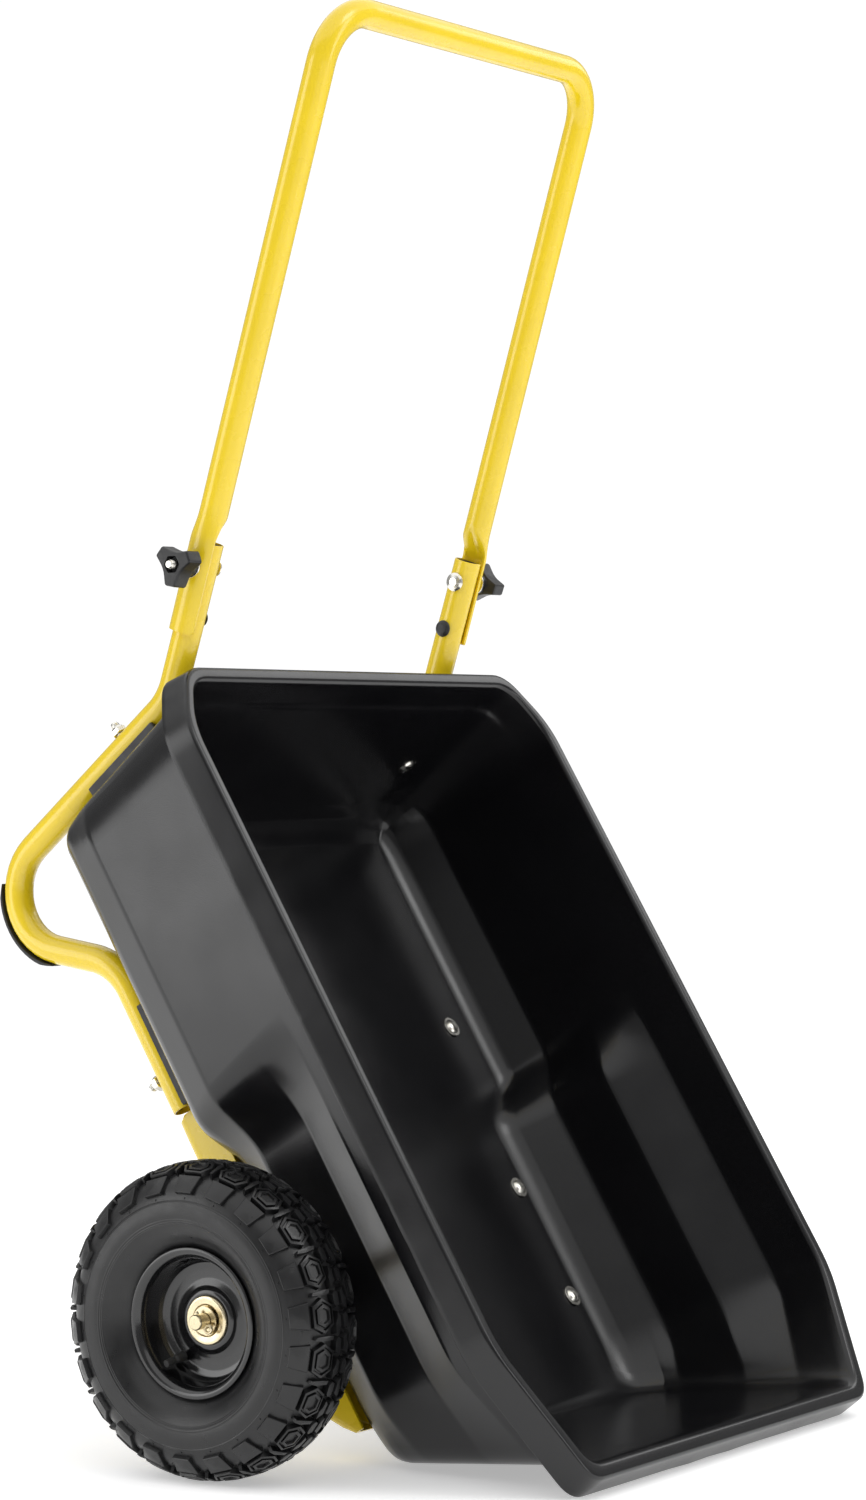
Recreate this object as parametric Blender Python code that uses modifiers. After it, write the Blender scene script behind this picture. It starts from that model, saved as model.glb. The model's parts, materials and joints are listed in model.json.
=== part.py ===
"""Two-wheeled garden cart: a moulded tub, a bent-tube frame, two pneumatic wheels and a fold-down handle.

World axes: X forward, Y left, Z up, ground at Z = 0, X = 0 halfway along the cart. The cart stands tipped
forward on its wheels and the front lip of its tub. The frame group is drawn in the tub's own axes, under the
empty cart_datum: x runs forward along the rim, z is the rim's normal, and the rear rim edge is the origin.
"""

import math

import bmesh
import bpy
from mathutils import Vector

GAP = 0.0003  # clearance between touching pieces
SMALL_STEPS = 12  # facets round a bolt or plug
WHEEL_STEPS = 28  # facets round a tyre or rim

# Tub, in its own axes. Depths are measured down from the rim.
TUB_WALL = 0.004
TUB_DEPTH = 0.198
RIM_LENGTH = 0.756
RIM_HALF_WIDTH = 0.2865
SKIRT_DEPTH = 0.028
SKIRT_FLARE = 0.003
LEDGE_DEPTHS = (0.049, 0.095, 0.153)  # top ledge, bottom of top ledge, top of lower ledge
BACK_TOP = 0.0134
BACK_DRAFT = 0.165
BACK_RADIUS = 0.015
FRONT_TOP = 0.742
FRONT_DRAFT = 0.47
FRONT_RADIUS = 0.014
SIDE_TOP = 0.2745
SIDE_DRAFT = 0.08
FLOOR_HALF_WIDTH = 0.235
WELL_FLOOR_HALF_WIDTH = 0.200
WELL_START = (0.306, 0.337)  # at the rim and at the floor
WELL_FULL = (0.378, 0.372)

# Tubing, fasteners and axle
TUBE_R = 0.0125
TUBE_WALL = 0.0014
BOLT_R = 0.004
HOLE_R = 0.0044
HEAD_R = 0.0085
HEAD_H = 0.003
NUT_FLAT_R = 0.0065
NUT_H = 0.0065
NUT_BORE = 0.0046
AXLE_R = 0.00635
AXLE_HALF = 0.3445
COTTER_OUT = 0.0140

# Wheels
WHEEL_R = 0.130
WHEEL_Y = 0.3216
AXLE_X = 0.4973

# Rails: corners of the centre line in the tub's x and z, with bend radii
RAIL_Y = 0.203
RAIL_CORNERS = (
    (-0.0955, 0.0458),
    (-0.0027, -0.0592),
    (0.0483, -0.3637),
    (0.1631, -0.2250),
    (0.3052, -0.2250),
)
RAIL_BENDS = (0.055, 0.051, 0.057)
BEND_STEPS = 6
REAR_BOLT_Z = -0.118
FLOOR_BOLT_X = 0.272
FLOOR_SPACER = (0.208, 0.304)
BACK_SPACER_Z = (-0.080, -0.168)
SPACER_WIDTH = 0.024

# Axle brackets: pressed channels under the floor
BRACKET_Y = 0.188
BRACKET_BOLT_Y = 0.183
BRACKET_WIDTH = 0.032
BRACKET_SHEET = 0.003
BRACKET_DEPTH = 0.040
BRACKET_BOLTS = (0.440, 0.552)

# Handle, seen from its pivot
PIVOT = (-0.0816, 0.0301)  # tub x and z
LEG_LEAN = math.radians(16.6)
LEG_LENGTH = 0.483
LEG_Y = 0.2065
HANDLE_BEND = 0.048
PLATE_Y = 0.2188
PLATE_HALF = 0.003
PLATE_WIDTH = 0.0145
PLATE_TAIL = 0.058
PLATE_TOP = 0.0225
PLUG_BELOW_PIVOT = 0.0455
PRESSED_LENGTH = 0.034
KNOB_START = 0.2238
KNOB_LENGTH = 0.0245
PIVOT_TIP = 0.2556

FLOOR_UNDER = -(TUB_DEPTH + TUB_WALL)
AXLE_Z = FLOOR_UNDER - GAP - AXLE_R
SKIRT_X = RIM_LENGTH + SKIRT_FLARE

# The pitch puts the wheels and the front skirt edge on the ground together.
REACH = SKIRT_X - AXLE_X
DROP = -AXLE_Z - SKIRT_DEPTH
PITCH = math.atan2(DROP, REACH) + math.asin(WHEEL_R / math.hypot(REACH, DROP))
DATUM = Vector((-0.07784, 0.0, SKIRT_X * math.sin(PITCH) + SKIRT_DEPTH * math.cos(PITCH)))


def to_world(x, y, z):
    """A point given in the tub's axes, in world axes."""
    c, s = math.cos(PITCH), math.sin(PITCH)
    return Vector((DATUM.x + x * c + z * s, y, DATUM.z - x * s + z * c))


def clear_scene():
    for obj in list(bpy.data.objects):
        bpy.data.objects.remove(obj, do_unlink=True)


clear_scene()
cart = bpy.data.collections.new("garden_cart")
cutters = bpy.data.collections.new("cutters")
bpy.context.scene.collection.children.link(cart)
bpy.context.scene.collection.children.link(cutters)
cutters.hide_render = True


def material(name, colour, roughness, metallic=0.0):
    mat = bpy.data.materials.new(name)
    mat.use_nodes = True
    shader = mat.node_tree.nodes["Principled BSDF"]
    shader.inputs["Base Color"].default_value = (*colour, 1.0)
    shader.inputs["Roughness"].default_value = roughness
    shader.inputs["Metallic"].default_value = metallic
    return mat


TUB_PLASTIC = material("tub_plastic", (0.012, 0.012, 0.013), 0.32)
YELLOW = material("yellow_powder_coat", (0.75, 0.55, 0.02), 0.30)
ZINC = material("zinc_plate", (0.62, 0.60, 0.52), 0.35, 1.0)
RUBBER = material("black_rubber", (0.010, 0.010, 0.010), 0.75)
RIM_PAINT = material("rim_paint", (0.006, 0.006, 0.006), 0.22)
BLACK_PLASTIC = material("black_plastic", (0.010, 0.010, 0.010), 0.55)
GREY_PLASTIC = material("grey_plastic", (0.070, 0.070, 0.070), 0.60)


def empty(name, location, rotation=(0.0, 0.0, 0.0)):
    obj = bpy.data.objects.new(name, None)
    obj.location = location
    obj.rotation_euler = rotation
    cart.objects.link(obj)
    return obj


def place(name, data, mat, parent, location=(0.0, 0.0, 0.0), rotation=(0.0, 0.0, 0.0)):
    """A named object with its material, under its parent."""
    obj = bpy.data.objects.new(name, data)
    data.materials.append(mat)
    obj.parent = parent
    obj.location = location
    obj.rotation_euler = rotation
    cart.objects.link(obj)
    return obj


def facing(direction):
    """The rotation that turns local Z to a direction."""
    return Vector(direction).to_track_quat("Z", "Y").to_euler()


def turned(name, profile, steps, mat, parent, location, direction, closed=False):
    """A turned solid from (radius, height) points that run down its outer side."""
    mesh = bpy.data.meshes.new(name)
    points = [(r, 0.0, z) for r, z in profile]
    edges = [(i, i + 1) for i in range(len(points) - 1)]
    if closed:
        edges.append((len(points) - 1, 0))
    mesh.from_pydata(points, edges, [])
    obj = place(name, mesh, mat, parent, location, facing(direction))
    screw = obj.modifiers.new("turn", "SCREW")
    screw.steps = steps
    screw.render_steps = steps
    screw.use_merge_vertices = True
    screw.merge_threshold = 1e-5
    screw.use_smooth_shade = True
    return obj


def ring(name, inner, outer, low, high, steps, mat, parent, location, direction):
    """A plain washer or sleeve."""
    profile = [(inner, high), (outer, high), (outer, low), (inner, low)]
    return turned(name, profile, steps, mat, parent, location, direction, closed=True)


def lofted(name, rings, mat, parent, location=(0.0, 0.0, 0.0), rotation=(0.0, 0.0, 0.0), ends="caps"):
    """A loft through rings of equal point counts. ends is caps, open or loop."""
    bm = bmesh.new()
    rows = [[bm.verts.new(p) for p in points] for points in rings]
    count = len(rows[0])
    pairs = list(zip(rows, rows[1:]))
    if ends == "loop":
        pairs.append((rows[-1], rows[0]))
    for low, high in pairs:
        for i in range(count):
            j = (i + 1) % count
            bm.faces.new((low[i], low[j], high[j], high[i]))
    if ends == "caps":
        bm.faces.new(rows[0][::-1])
        bm.faces.new(rows[-1])
    mesh = bpy.data.meshes.new(name)
    bm.to_mesh(mesh)
    bm.free()
    mesh.shade_smooth()
    mesh.set_sharp_from_angle(angle=math.radians(35))
    return place(name, mesh, mat, parent, location, rotation)


def plate(name, outlines, thickness, mat, parent, location, rotation):
    """A flat outline, with any holes, extruded to a thickness about its own plane."""
    curve = bpy.data.curves.new(name, "CURVE")
    curve.dimensions = "2D"
    curve.fill_mode = "BOTH"
    curve.extrude = thickness / 2
    for outline in outlines:
        spline = curve.splines.new("POLY")
        spline.points.add(len(outline) - 1)
        for point, (x, y) in zip(spline.points, outline):
            point.co = (x, y, 0.0, 1.0)
        spline.use_cyclic_u = True
    return place(name, curve, mat, parent, location, rotation)


def meshed(obj):
    """The curve object as a welded mesh object, which Booleans can cut."""
    bpy.context.view_layer.update()
    graph = bpy.context.evaluated_depsgraph_get()
    mesh = bpy.data.meshes.new_from_object(obj.evaluated_get(graph))
    bm = bmesh.new()
    bm.from_mesh(mesh)
    bmesh.ops.remove_doubles(bm, verts=bm.verts, dist=1e-6)
    bm.to_mesh(mesh)
    bm.free()
    name = obj.name
    swapped = bpy.data.objects.new(name, mesh)
    swapped.parent = obj.parent
    swapped.location = obj.location
    swapped.rotation_euler = obj.rotation_euler
    bpy.data.objects.remove(obj, do_unlink=True)
    swapped.name = name
    cart.objects.link(swapped)
    return swapped


def cut_with(obj, tool):
    tool.display_type = "WIRE"
    tool.hide_render = True
    cut = obj.modifiers.new("cut", "BOOLEAN")
    cut.operation = "DIFFERENCE"
    cut.object = tool


def drill(obj, centre, direction, radius, length, sides=12):
    """A round hole through a piece, at a point of its parent's axes."""
    bm = bmesh.new()
    bmesh.ops.create_cone(
        bm, cap_ends=True, segments=sides, radius1=radius, radius2=radius, depth=length
    )
    mesh = bpy.data.meshes.new("drill_" + obj.name)
    bm.to_mesh(mesh)
    bm.free()
    tool = bpy.data.objects.new("drill_" + obj.name, mesh)
    tool.parent = obj.parent
    tool.location = centre
    tool.rotation_euler = facing(direction)
    cutters.objects.link(tool)
    cut_with(obj, tool)


def slot(obj, centre, size):
    """A square cut at a point of the parent's axes."""
    bm = bmesh.new()
    bmesh.ops.create_cube(bm, size=1.0)
    bmesh.ops.scale(bm, vec=size, verts=bm.verts)
    mesh = bpy.data.meshes.new("slot_" + obj.name)
    bm.to_mesh(mesh)
    bm.free()
    tool = bpy.data.objects.new("slot_" + obj.name, mesh)
    tool.parent = obj.parent
    tool.location = centre
    cutters.objects.link(tool)
    cut_with(obj, tool)


def fillet(before, corner, after, radius, steps):
    """(arc points, centre) of a bend that replaces a corner."""
    a = (Vector(before) - Vector(corner)).normalized()
    b = (Vector(after) - Vector(corner)).normalized()
    half = a.angle(b) / 2
    centre = Vector(corner) + (a + b).normalized() * radius / math.sin(half)
    start = Vector(corner) + a * radius / math.tan(half) - centre
    end = Vector(corner) + b * radius / math.tan(half) - centre
    turn = start.angle(end)
    points = []
    for i in range(steps + 1):
        t = i / steps
        points.append(
            centre + (start * math.sin((1 - t) * turn) + end * math.sin(t * turn)) / math.sin(turn)
        )
    return points, centre


def bent(corners, radii, steps):
    """A centre line through corners, with a bend at each inner one."""
    points = [Vector(corners[0])]
    for i, radius in enumerate(radii, start=1):
        points += fillet(corners[i - 1], corners[i], corners[i + 1], radius, steps)[0]
    points.append(Vector(corners[-1]))
    return points


# ---------------------------------------------------------------- tub


def rounding(depth, radius):
    """How far a wall pulls in where it turns into the floor."""
    low = max(0.0, depth - (TUB_DEPTH - radius))
    return radius - math.sqrt(max(0.0, radius * radius - low * low))


def side_half_width(depth, low_ledge, floor_half_width):
    if depth <= low_ledge:
        return SIDE_TOP - SIDE_DRAFT * depth
    edge = SIDE_TOP - SIDE_DRAFT * low_ledge
    return edge + (floor_half_width - edge) * (depth - low_ledge) / (TUB_DEPTH - low_ledge)


def well_half_width(depth):
    """The wheel well steps in at two sloping ledges, with a steep wall between them."""
    top, step, low = LEDGE_DEPTHS
    outer = SIDE_TOP - SIDE_DRAFT * top
    upper, lower = 0.240, 0.234
    if depth <= top:
        return SIDE_TOP - SIDE_DRAFT * depth
    if depth <= step:
        return outer + (upper - outer) * (depth - top) / (step - top)
    if depth <= low:
        return upper + (lower - upper) * (depth - step) / (low - step)
    return lower + (WELL_FLOOR_HALF_WIDTH - lower) * (depth - low) / (TUB_DEPTH - low)


def between(ends, depth):
    """A size that changes steadily from the rim to the floor."""
    at_rim, at_floor = ends
    return at_rim + (at_floor - at_rim) * depth / TUB_DEPTH


def wall_outline(depth):
    """Corners of the tub's left half at one depth, from the back to the front."""
    back = BACK_TOP + BACK_DRAFT * depth + rounding(depth, BACK_RADIUS)
    front = FRONT_TOP - FRONT_DRAFT * depth - rounding(depth, FRONT_RADIUS)
    side = side_half_width(depth, LEDGE_DEPTHS[2], FLOOR_HALF_WIDTH)
    well = well_half_width(depth)
    back_half = 0.2476 - 0.08 * depth - 0.35 * rounding(depth, BACK_RADIUS)
    front_half = min(0.228 - 0.1 * depth, well - 0.010)
    return [
        (back, back_half),
        (0.058 + 0.06 * depth, side),
        (between(WELL_START, depth), side),
        (between(WELL_FULL, depth), well),
        (0.632 - 0.1 * depth, well),
        (front, front_half),
    ]


def rim_outline(grow):
    return [
        (-grow, 0.250 + grow / 3),
        (0.055 - grow / 3, RIM_HALF_WIDTH + grow),
        (WELL_START[0], RIM_HALF_WIDTH + grow),
        (WELL_FULL[0], RIM_HALF_WIDTH + grow),
        (0.635 + grow / 3, RIM_HALF_WIDTH + grow),
        (RIM_LENGTH + grow, 0.237 + grow / 2),
    ]


def tub_ring(half, radii, z):
    """A closed, rounded outline at one height. Corners with no radius stay single points."""
    whole = [(x, -y) for x, y in half] + [(x, y) for x, y in half[::-1]]
    both = list(radii) + list(radii)[::-1]
    points = []
    for i, (corner, radius) in enumerate(zip(whole, both)):
        before = whole[i - 1]
        after = whole[(i + 1) % len(whole)]
        if radius:
            points += fillet(before, corner, after, radius, 2)[0]
        else:
            points.append(Vector(corner))
    return [(p.x, p.y, z) for p in points]


def make_tub():
    wall_radii = (0.020, 0.020, 0.0, 0.0, 0.015, 0.012)
    rim_radii = (0.024, 0.024, 0.0, 0.0, 0.024, 0.022)
    depths = [TUB_DEPTH, 0.193, 0.184, 0.172, *LEDGE_DEPTHS[::-1], 0.0]
    rings = [tub_ring(wall_outline(depth), wall_radii, -depth) for depth in depths]
    rings.append(tub_ring(rim_outline(-0.002), rim_radii, 0.0))
    rings.append(tub_ring(rim_outline(0.0), rim_radii, -0.002))
    rings.append(tub_ring(rim_outline(SKIRT_FLARE), rim_radii, -SKIRT_DEPTH))
    bm = bmesh.new()
    rows = [[bm.verts.new(p) for p in points] for points in rings]
    count = len(rows[0])
    bm.faces.new(rows[0])
    for low, high in zip(rows, rows[1:]):
        for i in range(count):
            j = (i + 1) % count
            bm.faces.new((high[i], high[j], low[j], low[i]))
    mesh = bpy.data.meshes.new("tub")
    bm.to_mesh(mesh)
    bm.free()
    tub = place("tub", mesh, TUB_PLASTIC, datum)
    shell = tub.modifiers.new("wall", "SOLIDIFY")
    shell.thickness = TUB_WALL
    shell.offset = -1.0
    shell.use_even_offset = True
    return tub


# ---------------------------------------------------------------- frame


def hollow_tube(name, path, mat, parent):
    """A bent tube with open ends, from its centre line."""
    curve = bpy.data.curves.new(name, "CURVE")
    curve.dimensions = "3D"
    curve.bevel_depth = TUBE_R
    curve.bevel_resolution = 3
    spline = curve.splines.new("POLY")
    spline.points.add(len(path) - 1)
    for point, co in zip(spline.points, path):
        point.co = (*co, 1.0)
    tube = meshed(place(name, curve, mat, parent))
    wall = tube.modifiers.new("wall", "SOLIDIFY")
    wall.thickness = TUBE_WALL
    wall.offset = -1.0
    return tube


def rail_point(z):
    """The rail's centre line beside the back wall, at a height."""
    (x0, z0), (x1, z1) = RAIL_CORNERS[1:3]
    return x0 + (x1 - x0) * (z - z0) / (z1 - z0)


def rail_slope():
    (x0, z0), (x1, z1) = RAIL_CORNERS[1:3]
    return math.atan2(x1 - x0, z0 - z1)


def back_wall_distance(z):
    """Along the rear bolt, from the rail's centre line to the back wall's inner face."""
    lean = rail_slope()
    reach = BACK_TOP - BACK_DRAFT * z - rail_point(z)
    return reach / (math.cos(lean) + BACK_DRAFT * math.sin(lean))


def rear_bolt_direction():
    lean = rail_slope()
    return Vector((-math.cos(lean), 0.0, -math.sin(lean)))


def make_rail(side, y):
    path = [(p.x, y, p.y) for p in bent(RAIL_CORNERS, RAIL_BENDS, BEND_STEPS)]
    rail = hollow_tube("side_rail_" + side, path, YELLOW, datum)
    rear = (rail_point(REAR_BOLT_Z), y, REAR_BOLT_Z)
    drill(rail, rear, rear_bolt_direction(), HOLE_R, 0.05)
    drill(rail, (FLOOR_BOLT_X, y, RAIL_CORNERS[4][1]), (0, 0, 1), HOLE_R, 0.05)
    drill(rail, (PIVOT[0], y, PIVOT[1]), (0, 1, 0), HOLE_R, 0.05)
    inward = -math.copysign(TUBE_R, y)
    plug_x, plug_z = plug_point()
    drill(rail, (plug_x, y + inward, plug_z), (0, 1, 0), HOLE_R, 0.008)


def plug_point():
    """On the rail's top run, below the pivot bolt."""
    (x0, z0), (x1, z1) = RAIL_CORNERS[:2]
    t = PLUG_BELOW_PIVOT / math.hypot(x1 - x0, z1 - z0)
    return PIVOT[0] + (x1 - x0) * t, PIVOT[1] + (z1 - z0) * t


def make_foot_pad(side, y):
    """A rubber strip round the outside of the leg bend."""
    arc, centre = fillet(*RAIL_CORNERS[1:4], RAIL_BENDS[1], BEND_STEPS)
    inner = RAIL_BENDS[1] + TUBE_R + GAP
    rays = [(p - centre).normalized() for p in arc[2:]]
    outline = [centre + ray * inner for ray in rays]
    outline += [centre + ray * (inner + 0.004) for ray in rays[::-1]]
    points = [(p.x, p.y) for p in outline]
    plate("foot_pad_" + side, [points], 0.018, RUBBER, datum, (0, y, 0), (math.pi / 2, 0, 0))


def make_back_spacer(side, y):
    lean = rail_slope()
    off_rail = (TUBE_R + GAP) / math.cos(lean)
    high, low = BACK_SPACER_Z
    points = [
        (rail_point(high) + off_rail, high),
        (rail_point(low) + off_rail, low),
        (BACK_TOP - BACK_DRAFT * low - TUB_WALL * 1.014 - GAP, low),
        (BACK_TOP - BACK_DRAFT * high - TUB_WALL * 1.014 - GAP, high),
    ]
    name = "back_spacer_" + side
    flat = plate(name, [points], SPACER_WIDTH, GREY_PLASTIC, datum, (0, y, 0), (math.pi / 2, 0, 0))
    spacer = meshed(flat)
    drill(spacer, (rail_point(REAR_BOLT_Z), y, REAR_BOLT_Z), rear_bolt_direction(), HOLE_R, 0.10)


def make_floor_spacer(side, y):
    rear, front = FLOOR_SPACER
    top = FLOOR_UNDER - GAP
    low = RAIL_CORNERS[4][1] + TUBE_R + GAP
    points = [(rear, low), (front, low), (front, top), (rear, top)]
    name = "floor_spacer_" + side
    flat = plate(name, [points], SPACER_WIDTH, GREY_PLASTIC, datum, (0, y, 0), (math.pi / 2, 0, 0))
    spacer = meshed(flat)
    drill(spacer, (FLOOR_BOLT_X, y, top), (0, 0, 1), HOLE_R, 0.05)


def channel_section(x, y, depth):
    """One U section of the bracket, open side up against the floor."""
    half = BRACKET_WIDTH / 2
    inner = half - BRACKET_SHEET
    top = FLOOR_UNDER - GAP
    low = top - depth
    radius = min(0.006, depth / 2)
    points = [(-half, top)]
    for i in range(4):
        turn = math.pi + i * math.pi / 6
        points.append((-half + radius + radius * math.cos(turn), low + radius + radius * math.sin(turn)))
    for i in range(4):
        turn = 1.5 * math.pi + i * math.pi / 6
        points.append((half - radius + radius * math.cos(turn), low + radius + radius * math.sin(turn)))
    points.append((half, top))
    points.append((inner, top))
    points.append((inner, low + BRACKET_SHEET))
    points.append((-inner, low + BRACKET_SHEET))
    points.append((-inner, top))
    return [(x, y + across, z) for across, z in points]


def make_bracket(side, y):
    start = RAIL_CORNERS[4][0] + 0.003
    stations = [
        (start, BRACKET_DEPTH),
        (0.572, BRACKET_DEPTH),
        (0.592, 0.034),
        (0.608, 0.022),
        (0.618, 0.010),
    ]
    rings = [channel_section(x, y, depth) for x, depth in stations]
    bracket = lofted("axle_bracket_" + side, rings, YELLOW, datum)
    for x in BRACKET_BOLTS:
        hole = (x, math.copysign(BRACKET_BOLT_Y, y), FLOOR_UNDER - BRACKET_DEPTH)
        drill(bracket, hole, (0, 0, 1), HOLE_R, 0.012)
    notch = AXLE_R + GAP
    drill(bracket, (AXLE_X, y, AXLE_Z), (0, 1, 0), notch, 0.04, sides=20)
    slot(bracket, (AXLE_X, y, AXLE_Z + notch), (2 * notch, 0.04, 2 * notch))


def make_bolt(number, point, direction, grip):
    """A dome-head bolt from a head seat outwards through a grip, with its nut. The head is inside the tub."""
    tail = grip + NUT_H + 0.006
    profile = [
        (0.0, HEAD_H),
        (0.5 * HEAD_R, 0.87 * HEAD_H),
        (0.85 * HEAD_R, 0.53 * HEAD_H),
        (HEAD_R, 0.001),
        (HEAD_R, 0.0),
        (BOLT_R, 0.0),
        (BOLT_R, -tail + 0.001),
        (BOLT_R - 0.001, -tail),
        (0.0, -tail),
    ]
    out = Vector(direction).normalized()
    seat = Vector(point) - out * GAP
    turned("tub_bolt_" + number, profile, SMALL_STEPS, ZINC, datum, seat, -out)
    hexagon = [
        (NUT_FLAT_R / math.cos(math.pi / 6) * math.cos(i * math.pi / 3),
         NUT_FLAT_R / math.cos(math.pi / 6) * math.sin(i * math.pi / 3))
        for i in range(6)
    ]
    bore = [
        (NUT_BORE * math.cos(i * math.pi / 6), NUT_BORE * math.sin(i * math.pi / 6))
        for i in range(12)
    ]
    centre = Vector(point) + out * (grip + GAP + NUT_H / 2)
    plate("tub_nut_" + number, [hexagon, bore], NUT_H, ZINC, datum, centre, facing(out))


def make_tub_bolts(tub):
    number = 0
    for y in (-RAIL_Y, RAIL_Y):
        out = rear_bolt_direction()
        centre = Vector((rail_point(REAR_BOLT_Z), y, REAR_BOLT_Z))
        head = centre - out * (back_wall_distance(REAR_BOLT_Z) + 2 * GAP)
        number += 1
        make_bolt(str(number), head, out, (centre - head).length + TUBE_R + GAP)
        drill(tub, head, out, HOLE_R, 0.02)
        number += 1
        head = Vector((FLOOR_BOLT_X, y, -TUB_DEPTH))
        make_bolt(str(number), head, (0, 0, -1), -RAIL_CORNERS[4][1] + TUBE_R + GAP - TUB_DEPTH)
        drill(tub, head, (0, 0, 1), HOLE_R, 0.02)
    for y in (-BRACKET_BOLT_Y, BRACKET_BOLT_Y):
        for x in BRACKET_BOLTS:
            number += 1
            head = Vector((x, y, -TUB_DEPTH))
            make_bolt(str(number), head, (0, 0, -1), TUB_WALL + BRACKET_DEPTH + 2 * GAP)
            drill(tub, head, (0, 0, 1), HOLE_R, 0.02)


def make_snap_plug(side, y):
    """A domed plastic plug in the inner wall of the rail."""
    x, z = plug_point()
    inward = -math.copysign(1.0, y)
    profile = [
        (0.0, 0.0034),
        (0.0040, 0.0029),
        (0.0064, 0.0014),
        (0.0070, 0.0002),
        (0.0040, 0.0002),
        (0.0040, -0.0030),
        (0.0, -0.0030),
    ]
    seat = (x, y + inward * (TUBE_R + GAP), z)
    turned("snap_plug_" + side, profile, SMALL_STEPS, BLACK_PLASTIC, datum, seat, (0, inward, 0))


# ---------------------------------------------------------------- axle and wheels


def make_axle():
    edge = AXLE_R - 0.001
    profile = [
        (0.0, AXLE_HALF),
        (edge, AXLE_HALF),
        (AXLE_R, AXLE_HALF - 0.001),
        (AXLE_R, -AXLE_HALF + 0.001),
        (edge, -AXLE_HALF),
        (0.0, -AXLE_HALF),
    ]
    axle = turned("axle", profile, 20, ZINC, datum, (AXLE_X, 0, AXLE_Z), (0, 1, 0))
    for side in (-1, 1):
        drill(axle, (AXLE_X, side * (WHEEL_Y + COTTER_OUT), AXLE_Z), (1, 0, 0), 0.0019, 0.03)


def make_cotter(name, y):
    """A split pin through the axle: a straight shank that closes in an eye."""
    eye = 0.0032
    reach = AXLE_R + 0.004
    points = [Vector((-reach, 0.0)), Vector((reach, 0.0))]
    for i in range(1, 9):
        turn = -math.pi / 2 + i * math.pi / 5
        points.append(Vector((reach + eye * math.cos(turn), eye + eye * math.sin(turn))))
    curve = bpy.data.curves.new(name, "CURVE")
    curve.dimensions = "3D"
    curve.bevel_depth = 0.0013
    curve.bevel_resolution = 1
    curve.use_fill_caps = True
    spline = curve.splines.new("POLY")
    spline.points.add(len(points) - 1)
    for point, co in zip(spline.points, points):
        point.co = (AXLE_X + co.x, y, AXLE_Z + co.y, 1.0)
    place(name, curve, ZINC, datum)


def mirrored(profile):
    """A closed profile with its heights reversed, still running down its outer side."""
    return [(r, -z) for r, z in profile[::-1]]


def make_wheel(side, sign):
    """Heights are distances outwards from the tyre's middle plane."""
    centre = to_world(AXLE_X, sign * WHEEL_Y, AXLE_Z)
    hub = empty("wheel_" + side + "_axis", centre)
    out = (0.0, sign, 0.0)
    here = (0.0, 0.0, 0.0)
    outside = [
        (0.0543, 0.0240),
        (0.0610, 0.0245),
        (0.0660, 0.0300),
        (0.0760, 0.0385),
        (0.0900, 0.0424),
        (0.1060, 0.0412),
        (0.1200, 0.0365),
        (0.1278, 0.0270),
        (WHEEL_R, 0.0130),
    ]
    inside = [
        (0.0543, 0.0190),
        (0.0640, 0.0245),
        (0.0780, 0.0330),
        (0.0920, 0.0350),
        (0.1120, 0.0300),
        (0.1210, 0.0150),
    ]
    tyre = outside + [(r, -z) for r, z in outside[::-1]]
    tyre += [(r, -z) for r, z in inside] + inside[::-1]
    turned("tyre_" + side, tyre, WHEEL_STEPS, RUBBER, hub, here, out, closed=True)

    tube = []
    for i in range(10):
        turn = math.pi / 2 - i * math.pi / 5
        tube.append((0.0875 + 0.0300 * math.cos(turn), 0.0265 * math.sin(turn)))
    turned("inner_tube_" + side, tube, 20, RUBBER, hub, here, out, closed=True)

    rim = [
        (0.0188, 0.0055), (0.0310, 0.0055), (0.0345, 0.0028), (0.0508, 0.0028), (0.0515, 0.0260),
        (0.0535, 0.0284), (0.0615, 0.0284), (0.0615, 0.0260), (0.0540, 0.0250), (0.0540, 0.0003),
        (0.0340, 0.0003), (0.0305, 0.0030), (0.0188, 0.0030),
    ]
    turned("rim_outer_" + side, rim, WHEEL_STEPS, RIM_PAINT, hub, here, out, closed=True)
    turned("rim_inner_" + side, mirrored(rim), WHEEL_STEPS, RIM_PAINT, hub, here, out, closed=True)
    ring("hub_tube_" + side, 0.0160, 0.0185, -0.0400, 0.0055, 20, RIM_PAINT, hub, here, out)
    bush = [
        (0.0068, 0.0080), (0.0190, 0.0080), (0.0205, 0.0070), (0.0205, 0.0058), (0.0157, 0.0058),
        (0.0157, -0.0060), (0.0068, -0.0060),
    ]
    turned("bearing_outer_" + side, bush, 20, ZINC, hub, here, out, closed=True)
    rear = tuple(-0.0345 * axis for axis in out)
    turned("bearing_inner_" + side, mirrored(bush), 20, ZINC, hub, rear, out, closed=True)

    valve = [(0.0, 0.020), (0.0022, 0.020), (0.0024, 0.012), (0.0040, 0.009), (0.0044, 0.0), (0.0, 0.0)]
    foot = Vector((-0.62 * sign, -0.78, 0.0)).normalized() * 0.0385
    base = (foot.x * sign, sign * 0.0048, foot.y)
    lean = Vector((0.35 * base[0] / 0.0385, sign * 0.94, 0.35 * base[2] / 0.0385))
    turned("valve_stem_" + side, valve, 12, RUBBER, hub, base, lean)


def make_axle_fittings(side, sign):
    """The pieces that hold a wheel on the axle."""
    out = (0.0, sign, 0.0)
    seat = (AXLE_X, 0.0, AXLE_Z)
    start = BRACKET_Y + BRACKET_WIDTH / 2 + 2 * GAP
    stop = WHEEL_Y - 0.0345 - 0.0080 - 2 * GAP
    ring("axle_spacer_" + side, 0.0068, 0.0085, start, stop, 20, ZINC, datum, seat, out)
    washer = WHEEL_Y + 0.0083
    ring("axle_washer_" + side, 0.0067, 0.0115, washer, washer + 0.0016, 20, ZINC, datum, seat, out)
    make_cotter("cotter_pin_" + side, sign * (WHEEL_Y + COTTER_OUT))


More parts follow.
